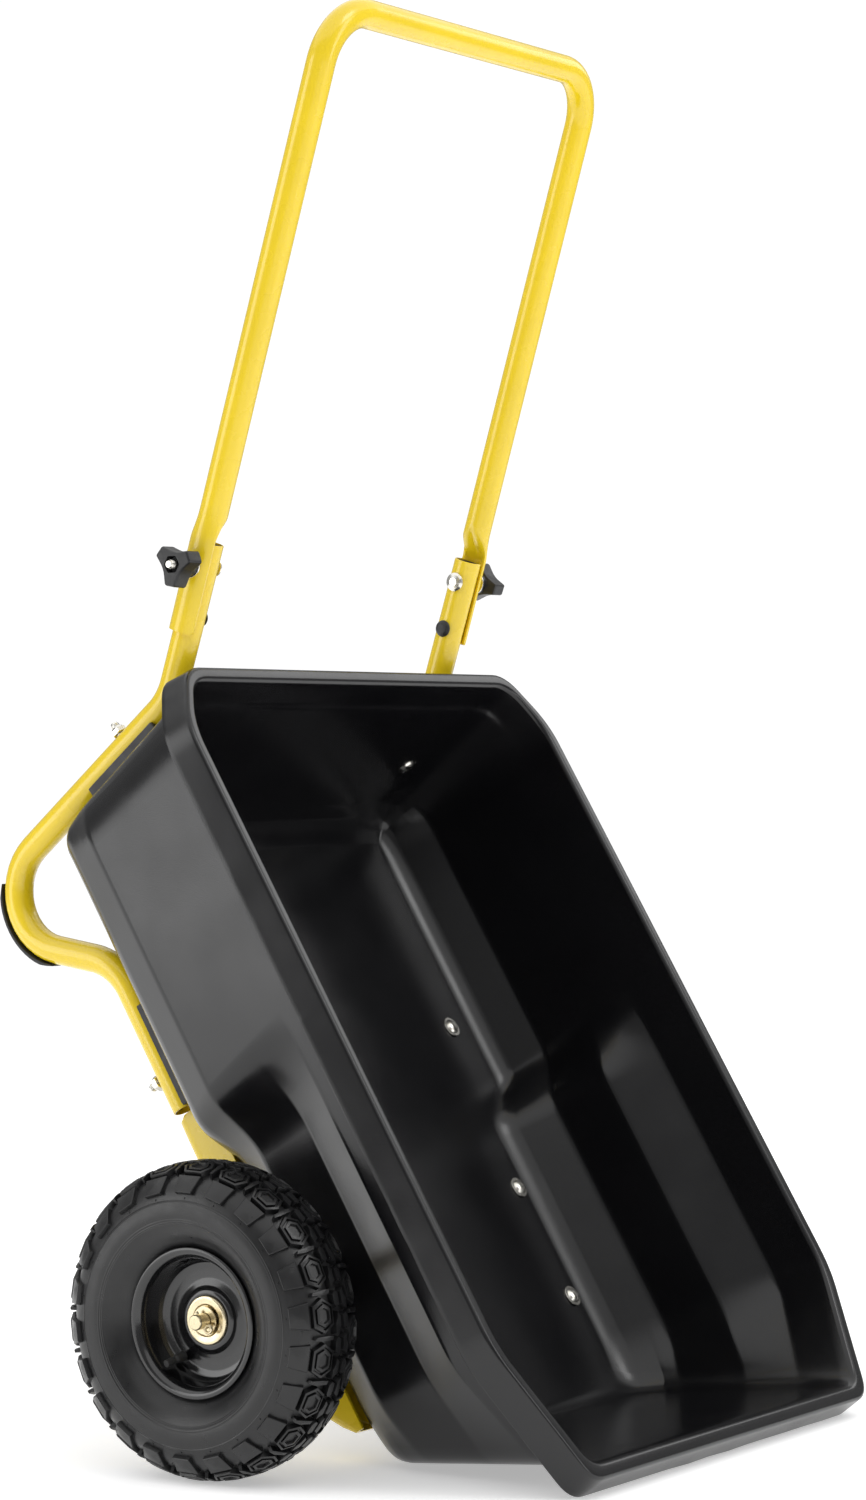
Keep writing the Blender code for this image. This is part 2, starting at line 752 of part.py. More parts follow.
# ---------------------------------------------------------------- handle


def oval(half_a, half_b, corner):
    """A section of 12 points with half sizes a and b, its corners rounded to a radius."""
    points = []
    for quarter, (sa, sb) in enumerate(((1, 1), (-1, 1), (-1, -1), (1, -1))):
        for i in range(3):
            turn = quarter * math.pi / 2 + i * math.pi / 4
            centre = (sa * (half_a - corner), sb * (half_b - corner))
            points.append((centre[0] + corner * math.cos(turn), centre[1] + corner * math.sin(turn)))
    return points


def leg_stations():
    """Up one leg: (height, offset in Y, half thickness across, half width, corner radius)."""
    stations = [
        (-PLATE_TAIL, PLATE_Y, PLATE_HALF, PLATE_WIDTH - 0.003, 0.0028),
        (-PLATE_TAIL + 0.003, PLATE_Y, PLATE_HALF, PLATE_WIDTH, 0.0028),
        (PLATE_TOP, PLATE_Y, PLATE_HALF, PLATE_WIDTH, 0.0028),
    ]
    for i in range(1, 5):
        t = i / 4
        ease = t * t * (3 - 2 * t)
        half_a = PLATE_HALF + (TUBE_R - PLATE_HALF) * ease
        half_b = PLATE_WIDTH + (TUBE_R - PLATE_WIDTH) * ease
        corner = 0.0028 + (TUBE_R - 0.00001 - 0.0028) * ease
        across = PLATE_Y + (LEG_Y - PLATE_Y) * ease
        stations.append((PLATE_TOP + PRESSED_LENGTH * t, across, half_a, half_b, corner))
    return stations


def make_handle():
    """One bent tube whose two ends are pressed flat, drawn in its own plane: y across, z up the legs."""
    rings = []
    for z, y, half_a, half_b, corner in leg_stations():
        rings.append([(-b, -y + a, z) for a, b in oval(half_a, half_b, corner)])
    corners = [(-LEG_Y, 0.06), (-LEG_Y, LEG_LENGTH), (LEG_Y, LEG_LENGTH), (LEG_Y, 0.06)]
    path = bent(corners, (HANDLE_BEND, HANDLE_BEND), 6)[1:-1]
    for i, p in enumerate(path):
        before = path[i - 1] if i else Vector(corners[0])
        after = path[i + 1] if i + 1 < len(path) else Vector(corners[-1])
        along = (after - before).normalized()
        across = Vector((along.y, -along.x))
        section = oval(TUBE_R, TUBE_R, TUBE_R - 0.00001)
        rings.append([(-b, p.x + a * across.x, p.y + a * across.y) for a, b in section])
    for z, y, half_a, half_b, corner in leg_stations()[::-1]:
        rings.append([(-b, y - a, z) for a, b in oval(half_a, half_b, corner)])
    handle = lofted("handle", rings, YELLOW, pivot, ends="open")
    wall = handle.modifiers.new("wall", "SOLIDIFY")
    wall.thickness = TUBE_WALL
    wall.offset = -1.0
    wall.use_even_offset = True
    for sign in (-1, 1):
        drill(handle, (0, sign * PLATE_Y, 0), (0, 1, 0), HOLE_R, 0.02)


def make_pivot_bolt(side, sign):
    """A round-head bolt through rail, handle and knob."""
    head = RAIL_Y - TUBE_R - 2 * GAP
    length = PIVOT_TIP - head
    profile = [
        (0.0, 0.0042),
        (0.0045, 0.0036),
        (0.0075, 0.0020),
        (0.0088, 0.0),
        (BOLT_R, 0.0),
        (BOLT_R, -length + 0.001),
        (BOLT_R - 0.001, -length),
        (0.0, -length),
    ]
    under_head = (PIVOT[0], sign * head, PIVOT[1])
    turned("pivot_bolt_" + side, profile, SMALL_STEPS, ZINC, datum, under_head, (0, -sign, 0))
    seat = (PIVOT[0], 0.0, PIVOT[1])
    low = PLATE_Y + PLATE_HALF + GAP
    name = "knob_washer_" + side
    ring(name, HOLE_R, 0.0105, low, low + 0.0014, SMALL_STEPS, ZINC, datum, seat, (0, sign, 0))


def lobed(radius, lobe, count=18):
    """A round outline that swells into three lobes."""
    points = []
    for i in range(count):
        turn = i * 2 * math.pi / count
        reach = radius + lobe * math.cos(3 * turn)
        points.append((reach * math.cos(turn), reach * math.sin(turn)))
    return points


def make_knob(side, sign):
    """A three-lobed knob on a neck, with a through bore. Local Z points outwards."""
    top = KNOB_LENGTH
    stages = [
        (BOLT_R + GAP, 0.0, 0.0),
        (0.0095, 0.0, 0.0),
        (0.0100, 0.0, 0.009),
        (0.0150, 0.0030, 0.012),
        (0.0160, 0.0036, 0.014),
        (0.0160, 0.0036, top - 0.002),
        (0.0145, 0.0032, top),
        (BOLT_R + GAP, 0.0, top),
    ]
    rings = [[(x, y, z) for x, y in lobed(radius, lobe)] for radius, lobe, z in stages]
    centre = to_world(PIVOT[0], sign * KNOB_START, PIVOT[1])
    axis = empty("knob_" + side + "_axis", centre, facing((0, sign, 0)))
    lofted("knob_" + side, rings, BLACK_PLASTIC, axis, ends="loop")


datum = empty("cart_datum", DATUM, (0.0, PITCH, 0.0))
pivot = empty("handle_pivot", to_world(PIVOT[0], 0.0, PIVOT[1]), (0.0, LEG_LEAN, 0.0))

tub_shell = make_tub()
make_tub_bolts(tub_shell)
make_axle()
make_handle()
for side_name, side_sign in (("right", -1), ("left", 1)):
    make_rail(side_name, side_sign * RAIL_Y)
    make_foot_pad(side_name, side_sign * RAIL_Y)
    make_back_spacer(side_name, side_sign * RAIL_Y)
    make_floor_spacer(side_name, side_sign * RAIL_Y)
    make_bracket(side_name, side_sign * BRACKET_Y)
    make_snap_plug(side_name, side_sign * RAIL_Y)
    make_wheel(side_name, side_sign)
    make_axle_fittings(side_name, side_sign)
    make_pivot_bolt(side_name, side_sign)
    make_knob(side_name, side_sign)
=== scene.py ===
"""The looks of the garden cart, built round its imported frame.

The tub, its rim and everything bolted to it are drawn in the tub's own axes: x runs forward along the rim
from the rear rim edge, y is left, z is the rim's normal. The handle is drawn up from its pivot, and each
wheel, bolt and knob about its own axis. A matrix then puts each mesh where the frame says. Sizes are in metres.
"""

import json
import math
import random

import bmesh
import bpy
from mathutils import Matrix, Vector


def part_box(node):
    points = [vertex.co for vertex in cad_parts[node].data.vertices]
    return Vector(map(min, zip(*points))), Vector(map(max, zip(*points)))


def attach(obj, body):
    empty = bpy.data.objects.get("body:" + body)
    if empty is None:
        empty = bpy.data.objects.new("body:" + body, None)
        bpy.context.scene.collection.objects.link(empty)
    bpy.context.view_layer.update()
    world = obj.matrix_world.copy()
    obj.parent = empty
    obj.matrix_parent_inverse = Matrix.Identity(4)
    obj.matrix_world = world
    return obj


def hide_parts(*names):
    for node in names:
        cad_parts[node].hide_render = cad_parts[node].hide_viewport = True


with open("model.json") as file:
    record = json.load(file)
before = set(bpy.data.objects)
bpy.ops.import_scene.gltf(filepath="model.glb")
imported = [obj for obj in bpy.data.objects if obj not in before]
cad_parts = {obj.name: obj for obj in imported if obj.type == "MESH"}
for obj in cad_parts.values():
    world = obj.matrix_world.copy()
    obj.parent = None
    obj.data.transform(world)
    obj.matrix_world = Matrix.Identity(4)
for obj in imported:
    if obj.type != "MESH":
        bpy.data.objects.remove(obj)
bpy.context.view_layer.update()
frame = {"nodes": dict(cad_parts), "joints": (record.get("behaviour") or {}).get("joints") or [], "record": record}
JOINTS = {joint["name"]: joint for joint in frame["joints"]}
RIM_MOUNT = frame["record"]["mounts"][0]
GAP = 0.0003  # between pieces that lie on each other

# Tub, in its own axes. Depths are measured down from the rim.
WALL = 0.004
DEPTH = 0.198
RIM_LENGTH = 0.756
RIM_HALF_WIDTH = 0.2865
SKIRT_DEPTH = 0.028
SKIRT_FLARE = 0.003
SIDE = ((0.0, 0.2745), (0.153, 0.2630), (DEPTH, 0.2395))
WELL = ((0.0, 0.2745), (0.049, 0.2706), (0.095, 0.2400), (0.153, 0.2340), (DEPTH, 0.2000))
BACK = (
    (0.0, 0.0134),
    (0.030, 0.0183),
    (0.034, 0.0205),
    (0.110, 0.0335),
    (0.165, 0.0430),
    (0.184, 0.0490),
    (DEPTH, 0.0590),
)
FRONT = ((0.0, 0.742), (DEPTH, 0.649))
WELL_START = ((0.0, 0.306), (DEPTH, 0.337))
WELL_FULL = ((0.0, 0.378), (DEPTH, 0.372))
FLOOR_RADIUS = 0.013

# Frame tubes and fasteners
TUBE_R = 0.0125
TUBE_WALL = 0.0014
RAIL_Y = 0.203
RAIL_CORNERS = (
    (-0.0955, 0.0458),
    (-0.0027, -0.0592),
    (0.0483, -0.3637),
    (0.1631, -0.2250),
    (0.3052, -0.2250),
)
RAIL_BENDS = (0.055, 0.051, 0.057)
FLOOR_UNDER = -(DEPTH + WALL)
PAD_THICKNESS = 0.0040
PAD_HALF_WIDTH = 0.009
PAD_STEPS = 24  # points round the leg bend
PAD_FIRST = 8  # the point where the pad begins
SPACER_HALF_WIDTH = 0.0137
SPACER_START = math.radians(32.0)  # how far up the rail's side a spacer's hollow begins
BACK_SPACER_RUN = (-0.080, -0.168)
FLOOR_SPACER_RUN = (0.208, 0.304)
BACK_WALL_THICKNESS = WALL * 1.014  # along x, because the wall slopes
BRACKET_Y = 0.188
BRACKET_HALF_WIDTH = 0.016
BRACKET_SHEET = 0.003
LEG_LEAN = math.radians(16.6)
LEG_LENGTH = 0.483
LEG_Y = 0.2065
LEG_TUBE_START = 0.062  # where the pressed end has turned into plain tube
HANDLE_BEND = 0.048
SADDLE_Y = 0.2036  # the axis of the pressed end's curve
SADDLE_INNER = 0.0129
SADDLE_OUTER = 0.0164
SADDLE_SPREAD = math.radians(58.0)
PLATE_TAIL = 0.058
PLATE_TOP = 0.0225
PRESSED_LENGTH = 0.034
KNOB_LENGTH = 0.0245
PIVOT_HEAD_HEIGHT = 0.0042
TUB_BOLT_HEAD = (0.0100, 0.0046)  # radius and height
AXLE_RADIUS = 0.00635
WASHER_BORE = 0.0067
SLEEVE_BORE = 0.0068
SPLIT_PIN_WIRE = 0.0012

TURN = Matrix.Rotation(math.atan2(RIM_MOUNT["axis"][0], RIM_MOUNT["axis"][2]), 4, "Y")
RIM_POINT = Vector((0.0077, 0.0, 0.0))  # where the rim mount sits, in the tub's axes
TUB = Matrix.Translation(Vector(RIM_MOUNT["pos_m"]) - TURN @ RIM_POINT) @ TURN
PIVOT = Vector(JOINTS["handle_fold"]["pos_m"])
HANDLE = Matrix.Translation(PIVOT) @ Matrix.Rotation(LEG_LEAN, 4, "Y")
AXLE = Vector(JOINTS["wheel_left_spin"]["pos_m"]) * Vector((1.0, 0.0, 1.0))
WHEEL_Y = JOINTS["wheel_left_spin"]["pos_m"][1]
KNOB_Y = JOINTS["knob_left_turn"]["pos_m"][1]


# ---------------------------------------------------------------- materials


def surface(
    name,
    colour,
    roughness,
    metallic=0.0,
    coat=0.0,
    mottle=(9.0, 0.12),
    grain=(500.0, 0.06),
    wear=0.08,
    ripple=None,
):
    """A material with blotches of tone, patches of gloss, a fine grain, and a slow ripple if asked."""
    mat = bpy.data.materials.new(name)
    mat.use_nodes = True
    nodes, links = mat.node_tree.nodes, mat.node_tree.links
    shader = nodes["Principled BSDF"]
    shader.inputs["Metallic"].default_value = metallic
    shader.inputs["Coat Weight"].default_value = coat
    shader.inputs["Coat Roughness"].default_value = 0.12
    place = nodes.new("ShaderNodeTexCoord").outputs["Object"]

    def noise(scale, detail=4.0):
        node = nodes.new("ShaderNodeTexNoise")
        node.inputs["Scale"].default_value = scale
        node.inputs["Detail"].default_value = detail
        links.new(place, node.inputs["Vector"])
        return node.outputs["Fac"]

    size, amount = mottle
    ramp = nodes.new("ShaderNodeValToRGB")
    low = [max(0.0, c * (1 - amount)) for c in colour]
    high = [min(1.0, c * (1 + amount)) for c in colour]
    ramp.color_ramp.elements[0].position = 0.35
    ramp.color_ramp.elements[0].color = (*low, 1.0)
    ramp.color_ramp.elements[1].position = 0.65
    ramp.color_ramp.elements[1].color = (*high, 1.0)
    links.new(noise(size), ramp.inputs["Fac"])
    links.new(ramp.outputs["Color"], shader.inputs["Base Color"])

    gloss = nodes.new("ShaderNodeMapRange")
    gloss.inputs["From Min"].default_value = 0.3
    gloss.inputs["From Max"].default_value = 0.7
    gloss.inputs["To Min"].default_value = max(0.02, roughness - wear)
    gloss.inputs["To Max"].default_value = min(1.0, roughness + wear)
    links.new(noise(size * 3.1, 6.0), gloss.inputs["Value"])
    links.new(gloss.outputs["Result"], shader.inputs["Roughness"])

    fineness, strength = grain
    bump = nodes.new("ShaderNodeBump")
    bump.inputs["Strength"].default_value = strength
    bump.inputs["Distance"].default_value = 0.001
    links.new(noise(fineness, 2.0), bump.inputs["Height"])
    links.new(bump.outputs["Normal"], shader.inputs["Normal"])
    if ripple:
        size, height = ripple
        swell = nodes.new("ShaderNodeBump")
        swell.inputs["Strength"].default_value = 1.0
        swell.inputs["Distance"].default_value = height
        links.new(noise(size, 1.0), swell.inputs["Height"])
        links.new(swell.outputs["Normal"], bump.inputs["Normal"])
    return mat


TUB_PLASTIC = surface(
    "tub_plastic",
    (0.0038, 0.0038, 0.0045),
    0.23,
    mottle=(6.0, 0.15),
    grain=(900.0, 0.05),
    wear=0.04,
    ripple=(9.0, 0.0007),
)
YELLOW = surface(
    "yellow_powder_coat",
    (0.83, 0.60, 0.009),
    0.27,
    coat=0.50,
    mottle=(14.0, 0.03),
    grain=(650.0, 0.06),
    wear=0.04,
)
ZINC = surface("zinc_plate", (0.74, 0.64, 0.43), 0.24, 1.0, 0.0, (60.0, 0.10), (1400.0, 0.06))
BRIGHT_ZINC = surface("bright_zinc", (0.78, 0.76, 0.70), 0.22, 1.0, 0.0, (60.0, 0.08), (1400.0, 0.05))
BARE_STEEL = surface("bare_steel", (0.10, 0.09, 0.085), 0.50, 0.6, 0.0, (60.0, 0.15), (900.0, 0.10))
TYRE = surface("tyre_rubber", (0.0065, 0.0065, 0.0070), 0.33, 0.0, 0.0, (26.0, 0.28), (1100.0, 0.14), 0.07)
RUBBER = surface("soft_rubber", (0.012, 0.012, 0.012), 0.60, 0.0, 0.0, (40.0, 0.15), (900.0, 0.18))
RIM_PAINT = surface("rim_paint", (0.004, 0.004, 0.0045), 0.18, 0.0, 0.5, (20.0, 0.10), (500.0, 0.05), 0.03)
KNOB_PLASTIC = surface("black_plastic", (0.010, 0.010, 0.011), 0.40, 0.0, 0.0, (60.0, 0.12), (1500.0, 0.20))
GREY_PLASTIC = surface("grey_plastic", (0.022, 0.022, 0.025), 0.50, 0.0, 0.0, (30.0, 0.12), (1200.0, 0.18))


# ---------------------------------------------------------------- mesh helpers


def piece(name, bm, mat, matrix, body, nodes=(), sharp=38.0):
    """The finished bmesh as a named piece that rides on a body and stands for CAD nodes.

    Like a CAD node, a piece sits at the origin and its place is in its mesh.
    """
    bm.transform(matrix)
    bmesh.ops.recalc_face_normals(bm, faces=bm.faces)
    mesh = bpy.data.meshes.new(name)
    bm.to_mesh(mesh)
    bm.free()
    mesh.shade_smooth()
    mesh.set_sharp_from_angle(angle=math.radians(sharp))
    mesh.materials.append(mat)
    obj = bpy.data.objects.new(name, mesh)
    bpy.context.scene.collection.objects.link(obj)
    even = obj.modifiers.new("even_shading", "WEIGHTED_NORMAL")
    even.keep_sharp = True
    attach(obj, body)
    if nodes:
        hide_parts(*nodes)
    return obj


def facing(point, direction):
    """The matrix that puts local Z along a direction, at a point."""
    return Matrix.Translation(point) @ Vector(direction).to_track_quat("Z", "Y").to_matrix().to_4x4()


def loft(bm, rings, loop=False, caps=False):
    """Quads between rings of equal point counts. A loop joins the last ring to the first."""
    rows = [[bm.verts.new(p) for p in points] for points in rings]
    count = len(rows[0])
    pairs = list(zip(rows, rows[1:]))
    if loop:
        pairs.append((rows[-1], rows[0]))
    for low, high in pairs:
        for i in range(count):
            j = (i + 1) % count
            bm.faces.new((low[i], low[j], high[j], high[i]))
    if caps:
        bm.faces.new(rows[0][::-1])
        bm.faces.new(rows[-1])
    return rows


def softened(points, reach, steps=3, closed=False):
    """A path whose corners are rounded off, each from up to a reach away. reach may be a list."""
    points = [Vector(p) for p in points]
    reaches = reach if isinstance(reach, (list, tuple)) else [reach] * len(points)
    count = len(points)
    result = []
    for i, corner in enumerate(points):
        if not closed and i in (0, count - 1):
            result.append(corner)
            continue
        before = points[i - 1]
        after = points[(i + 1) % count]
        start = corner + (before - corner) * min(0.49, reaches[i] / max(1e-9, (before - corner).length))
        end = corner + (after - corner) * min(0.49, reaches[i] / max(1e-9, (after - corner).length))
        for k in range(steps + 1):
            t = k / steps
            result.append(start * (1 - t) ** 2 + corner * 2 * t * (1 - t) + end * t * t)
    return result


def turned(name, profile, mat, matrix, body, nodes=(), reach=0.0008, steps=48, closed=False, sharp=38.0):
    """A turned piece from (radius, height) corners, with every edge eased."""
    path = softened([(r, h) for r, h in profile], reach, closed=closed)
    bm = bmesh.new()
    rings = []
    for p in path:
        radius = max(p.x, 0.0)
        turn = 2 * math.pi / steps
        rings.append([(radius * math.cos(i * turn), radius * math.sin(i * turn), p.y) for i in range(steps)])
    loft(bm, rings, loop=closed)
    bmesh.ops.remove_doubles(bm, verts=bm.verts, dist=1e-6)
    return piece(name, bm, mat, matrix, body, nodes, sharp)


def bend(before, corner, after, radius, steps):
    """The arc that replaces a corner."""
    before, corner, after = Vector(before), Vector(corner), Vector(after)
    a = (before - corner).normalized()
    b = (after - corner).normalized()
    half = a.angle(b) / 2
    centre = corner + (a + b).normalized() * radius / math.sin(half)
    start = corner + a * radius / math.tan(half) - centre
    end = corner + b * radius / math.tan(half) - centre
    turn = start.angle(end)
    points = []
    for i in range(steps + 1):
        t = i / steps
        mixed = start * math.sin((1 - t) * turn) + end * math.sin(t * turn)
        points.append(centre + mixed / math.sin(turn))
    return points


def bent(corners, radii, steps=14):
    """A path through corners, with each inner corner bent to its radius."""
    points = [Vector(corners[0])]
    for i, radius in enumerate(radii, start=1):
        points += bend(corners[i - 1], corners[i], corners[i + 1], radius, steps)
    points.append(Vector(corners[-1]))
    return points


def along(path):
    """Unit directions of a path at its points."""
    return [(path[min(i + 1, len(path) - 1)] - path[max(i - 1, 0)]).normalized() for i in range(len(path))]


# ---------------------------------------------------------------- tub


def at(table, depth):
    """A size from a table of (depth, size), with its corners eased over a few millimetres."""
    total = 0.0
    window = (-0.0025, -0.0015, -0.0005, 0.0005, 0.0015, 0.0025)
    for offset in window:
        d = min(max(depth + offset, table[0][0]), table[-1][0])
        for (d0, v0), (d1, v1) in zip(table, table[1:]):
            if d <= d1:
                total += v0 + (v1 - v0) * (d - d0) / (d1 - d0)
                break
    return total / len(window)


def wall_corners(depth, pull=0.0):
    """The left half of the tub's inside at a depth, drawn in by a pull, from back to front."""
    side = at(SIDE, depth) - pull
    well = at(WELL, depth) - pull
    back = at(BACK, depth) + pull
    front = at(FRONT, depth) - pull
    return [
        (back, 0.2476 - 0.04 * depth - 0.7 * pull),
        (0.058 + 0.06 * depth + 0.4 * pull, side),
        (at(WELL_START, depth), side),
        (at(WELL_FULL, depth), well),
        (0.632 - 0.1 * depth, well),
        (front, min(0.228 - 0.1 * depth, well - 0.010)),
    ]


def rim_corners(grow):
    """The left half of the rim's edge, grown outwards, from back to front."""
    return [
        (-grow, 0.250 + grow / 3),
        (0.055 - grow / 3, RIM_HALF_WIDTH + grow),
        (0.306, RIM_HALF_WIDTH + grow),
        (0.378, RIM_HALF_WIDTH + grow),
        (0.635 + grow / 3, RIM_HALF_WIDTH + grow),
        (RIM_LENGTH + grow, 0.237 + grow / 2),
    ]


CORNER_REACH = (0.020, 0.022, 0.013, 0.015, 0.020, 0.018)
ARC_STEPS = 6
BETWEEN = 12  # extra points along each straight run
RIB_SPACING = 0.058
CREASE_STEPS = (-0.0027, -0.0013, 0.0001, 0.0015, 0.0029)  # rings that draw each crease


def outline(half, z, ribs=0.0):
    """A rounded, closed outline. Ribs push the straight runs out a little, at even spacings."""
    whole = [(x, -y) for x, y in half] + [(x, y) for x, y in half[::-1]]
    reaches = list(CORNER_REACH) + list(CORNER_REACH)[::-1]
    arcs = softened(whole, reaches, steps=ARC_STEPS, closed=True)
    group = ARC_STEPS + 1
    points = []
    for i in range(0, len(arcs), group):
        points += arcs[i : i + group]
        start, end = arcs[i + group - 1], arcs[(i + group) % len(arcs)]
        run = end - start
        out = Vector((-run.y, run.x)).normalized() * -1.0
        for k in range(1, BETWEEN + 1):
            t = k / (BETWEEN + 1)
            wave = max(0.0, math.cos(2 * math.pi * run.length * t / RIB_SPACING)) ** 3
            points.append(start.lerp(end, t) + out * ribs * wave * math.sin(math.pi * t))
    return [(p.x, p.y, z) for p in points]


def shrunk(ring, share):
    """A floor ring drawn in towards its middle."""
    middle = Vector((0.34, 0.0, ring[0][2]))
    return [middle.lerp(Vector(p), share) for p in ring]


def blended(low, high, t):
    """A ring part of the way from one ring to another."""
    return [Vector(a).lerp(Vector(b), t) for a, b in zip(low, high)]


def wall_rings(pull, floor, radius, top, levels=20):
    """Rings from the middle of a floor, round its fillet and up the walls to a depth."""
    edge = outline(wall_corners(DEPTH, pull + radius), -floor)
    rings = [shrunk(edge, share) for share in (0.3, 0.6, 0.85, 0.97)] + [edge]
    steps = 8
    for k in range(1, steps + 1):
        turn = k / steps * math.pi / 2
        depth = floor - radius * (1 - math.cos(turn))
        rings.append(outline(wall_corners(min(depth, DEPTH), pull + radius * (1 - math.sin(turn))), -depth))
    start = floor - radius
    depths = [start + (top - start) * k / levels for k in range(1, levels + 1)]
    creases = {depth for table in (SIDE, WELL, BACK) for depth, size in table[1:-1]}
    depths += [crease + step for crease in creases for step in CREASE_STEPS if top < crease + step < start]
    for depth in sorted(depths, reverse=True):
        rings.append(outline(wall_corners(depth, pull), -depth))
    return rings


def make_tub():
    """The tub in one closed skin: floor, inner walls, rim, skirt, then the outside back down again."""
    lip = 0.0045
    rings = wall_rings(0.0, DEPTH, FLOOR_RADIUS, lip)
    inner, outer = outline(wall_corners(0.0), 0.0), outline(rim_corners(0.0), 0.0)
    for turn in (0.35, 0.7, 1.05, 1.4):
        down = lip * (1 - math.sin(turn))
        rings.append([(p.x, p.y, -down) for p in blended(inner, outer, 0.36 * (1 - math.cos(turn)))])
    rings.append(blended(inner, outer, 0.55))
    rings.append(blended(inner, outer, 0.66))
    edge = 0.0034
    for turn in (0.0, 0.4, 0.8, 1.2, math.pi / 2):
        rings.append(outline(rim_corners(edge * (math.sin(turn) - 1)), -edge * (1 - math.cos(turn))))
    run = (0.2, 0.4, 0.6, 0.8, 0.95)
    for t in run:
        rings.append(outline(rim_corners(SKIRT_FLARE * t), -edge - (SKIRT_DEPTH - edge) * t, 0.0011 * t))
    for grow, depth in ((0.0026, 0.0), (0.0016, 0.0004), (-0.0004, 0.0004), (-0.0009, 0.0)):
        rings.append(outline(rim_corners(grow), -SKIRT_DEPTH - depth + 0.0004, 0.0004))
    for t in run[::-1]:
        down = -WALL - (SKIRT_DEPTH - WALL) * t
        rings.append(outline(rim_corners(SKIRT_FLARE * t - WALL), down, 0.0004 * t))
    under = outline(rim_corners(-WALL), -WALL)
    wall = outline(wall_corners(WALL, -WALL), -WALL)
    for t in (0.06, 0.5, 0.94):
        rings.append(blended(under, wall, t))
    rings += wall_rings(-WALL, DEPTH + WALL, FLOOR_RADIUS + WALL, WALL + 0.0015)[::-1]
    bm = bmesh.new()
    rows = loft(bm, rings)
    bm.faces.new(rows[0])
    bm.faces.new(rows[-1])
    piece("tub_shell", bm, TUB_PLASTIC, TUB, "cart", ["tub"], sharp=60.0)


# ---------------------------------------------------------------- frame tubes


def tube_rings(path, normal, radius, wall, sides=32):
    """Rings down the outside of a tube that bends in one plane, then back up its inside."""
    directions = along(path)

    def around(p, direction, r):
        across = direction.cross(normal)
        turn = 2 * math.pi / sides
        return [p + across * r * math.cos(i * turn) + normal * r * math.sin(i * turn) for i in range(sides)]

    ease = 0.0004
    outside = [around(path[0], directions[0], radius - ease)]
    shifts = end_shifts(len(path), ease)
    outside += [around(p + d * e, d, radius) for p, d, e in zip(path, directions, shifts)]
    outside.append(around(path[-1], directions[-1], radius - ease))
    inside = [around(p, d, radius - wall) for p, d in zip(path[::-1], directions[::-1])]
    return outside + inside


def end_shifts(count, ease):
    """A small step inwards at each end of a path, to ease the tube's lip."""
    return [ease] + [0.0] * (count - 2) + [-ease]


def make_rail(side, sign):
    """A side rail's bent tube, and the bare steel that shows down its open top end."""
    path = [Vector((p.x, sign * RAIL_Y, p.y)) for p in bent(RAIL_CORNERS, RAIL_BENDS)]
    bm = bmesh.new()
    loft(bm, tube_rings(path, Vector((0, 1, 0)), TUBE_R, TUBE_WALL), loop=True)
    piece("rail_tube_" + side, bm, YELLOW, TUB, "cart", ["side_rail_" + side])
    run = (path[1] - path[0]).normalized()
    matrix = TUB @ facing(path[0] + run * 0.0012, -run)
    bore = TUBE_R - TUBE_WALL - 0.0001
    skin = bore - 0.0004
    liner = [(bore, 0.0), (skin, 0.0), (skin, -0.0340), (0.0, -0.0340), (0.0, -0.0345), (bore, -0.0345)]
    turned("rail_bore_" + side, liner, BARE_STEEL, matrix, "cart", reach=0.0001)


def pad_section(inner, outer, half):
    """A strip's section that wraps a tube: (outward, across) corners."""
    corners = [(inner, -half), (outer, -half * 0.8), (outer, half * 0.8), (inner, half)]
    return softened(corners, 0.0015, closed=True)


def make_foot_pad(side, sign):
    """A rubber strip round the outside of the leg bend."""
    arc = bend(*RAIL_CORNERS[1:4], RAIL_BENDS[1], PAD_STEPS)
    turn_centre = centre_of(arc)
    bm = bmesh.new()
    rings = []
    used = arc[PAD_FIRST:]
    for i, p in enumerate(used):
        ray = (p - turn_centre).normalized()
        thick = PAD_THICKNESS * min(1.0, 0.35 + 0.3 * min(i, len(used) - 1 - i))
        inner, outer = TUBE_R + GAP, TUBE_R + GAP + thick
        section = pad_section(inner, outer, PAD_HALF_WIDTH)
        rings.append([(p.x + ray.x * s.x, sign * RAIL_Y + s.y, p.y + ray.y * s.x) for s in section])
    loft(bm, rings, caps=True)
    piece("leg_pad_" + side, bm, RUBBER, TUB, "cart", ["foot_pad_" + side])


def centre_of(arc):
    """The centre of the circle through an arc's ends and middle."""
    a, b, c = arc[0], arc[len(arc) // 2], arc[-1]
    d = 2 * (a.x * (b.y - c.y) + b.x * (c.y - a.y) + c.x * (a.y - b.y))
    x = (a.length_squared * (b.y - c.y) + b.length_squared * (c.y - a.y) + c.length_squared * (a.y - b.y)) / d
    y = (a.length_squared * (c.x - b.x) + b.length_squared * (a.x - c.x) + c.length_squared * (b.x - a.x)) / d
    return Vector((x, y))


def saddle_section(top, half):
    """Across a saddle spacer, from the tube's centre: a flat top, and a hollow for the tube beneath."""
    reach = TUBE_R + GAP
    lip = reach * math.sin(SPACER_START)
    points = [Vector((-half, top)), Vector((half, top)), Vector((half, lip))]
    for i in range(13):
        turn = SPACER_START + i * (math.pi - 2 * SPACER_START) / 12
        points.append(Vector((reach * math.cos(turn), reach * math.sin(turn))))
    points.append(Vector((-half, lip)))
    return points


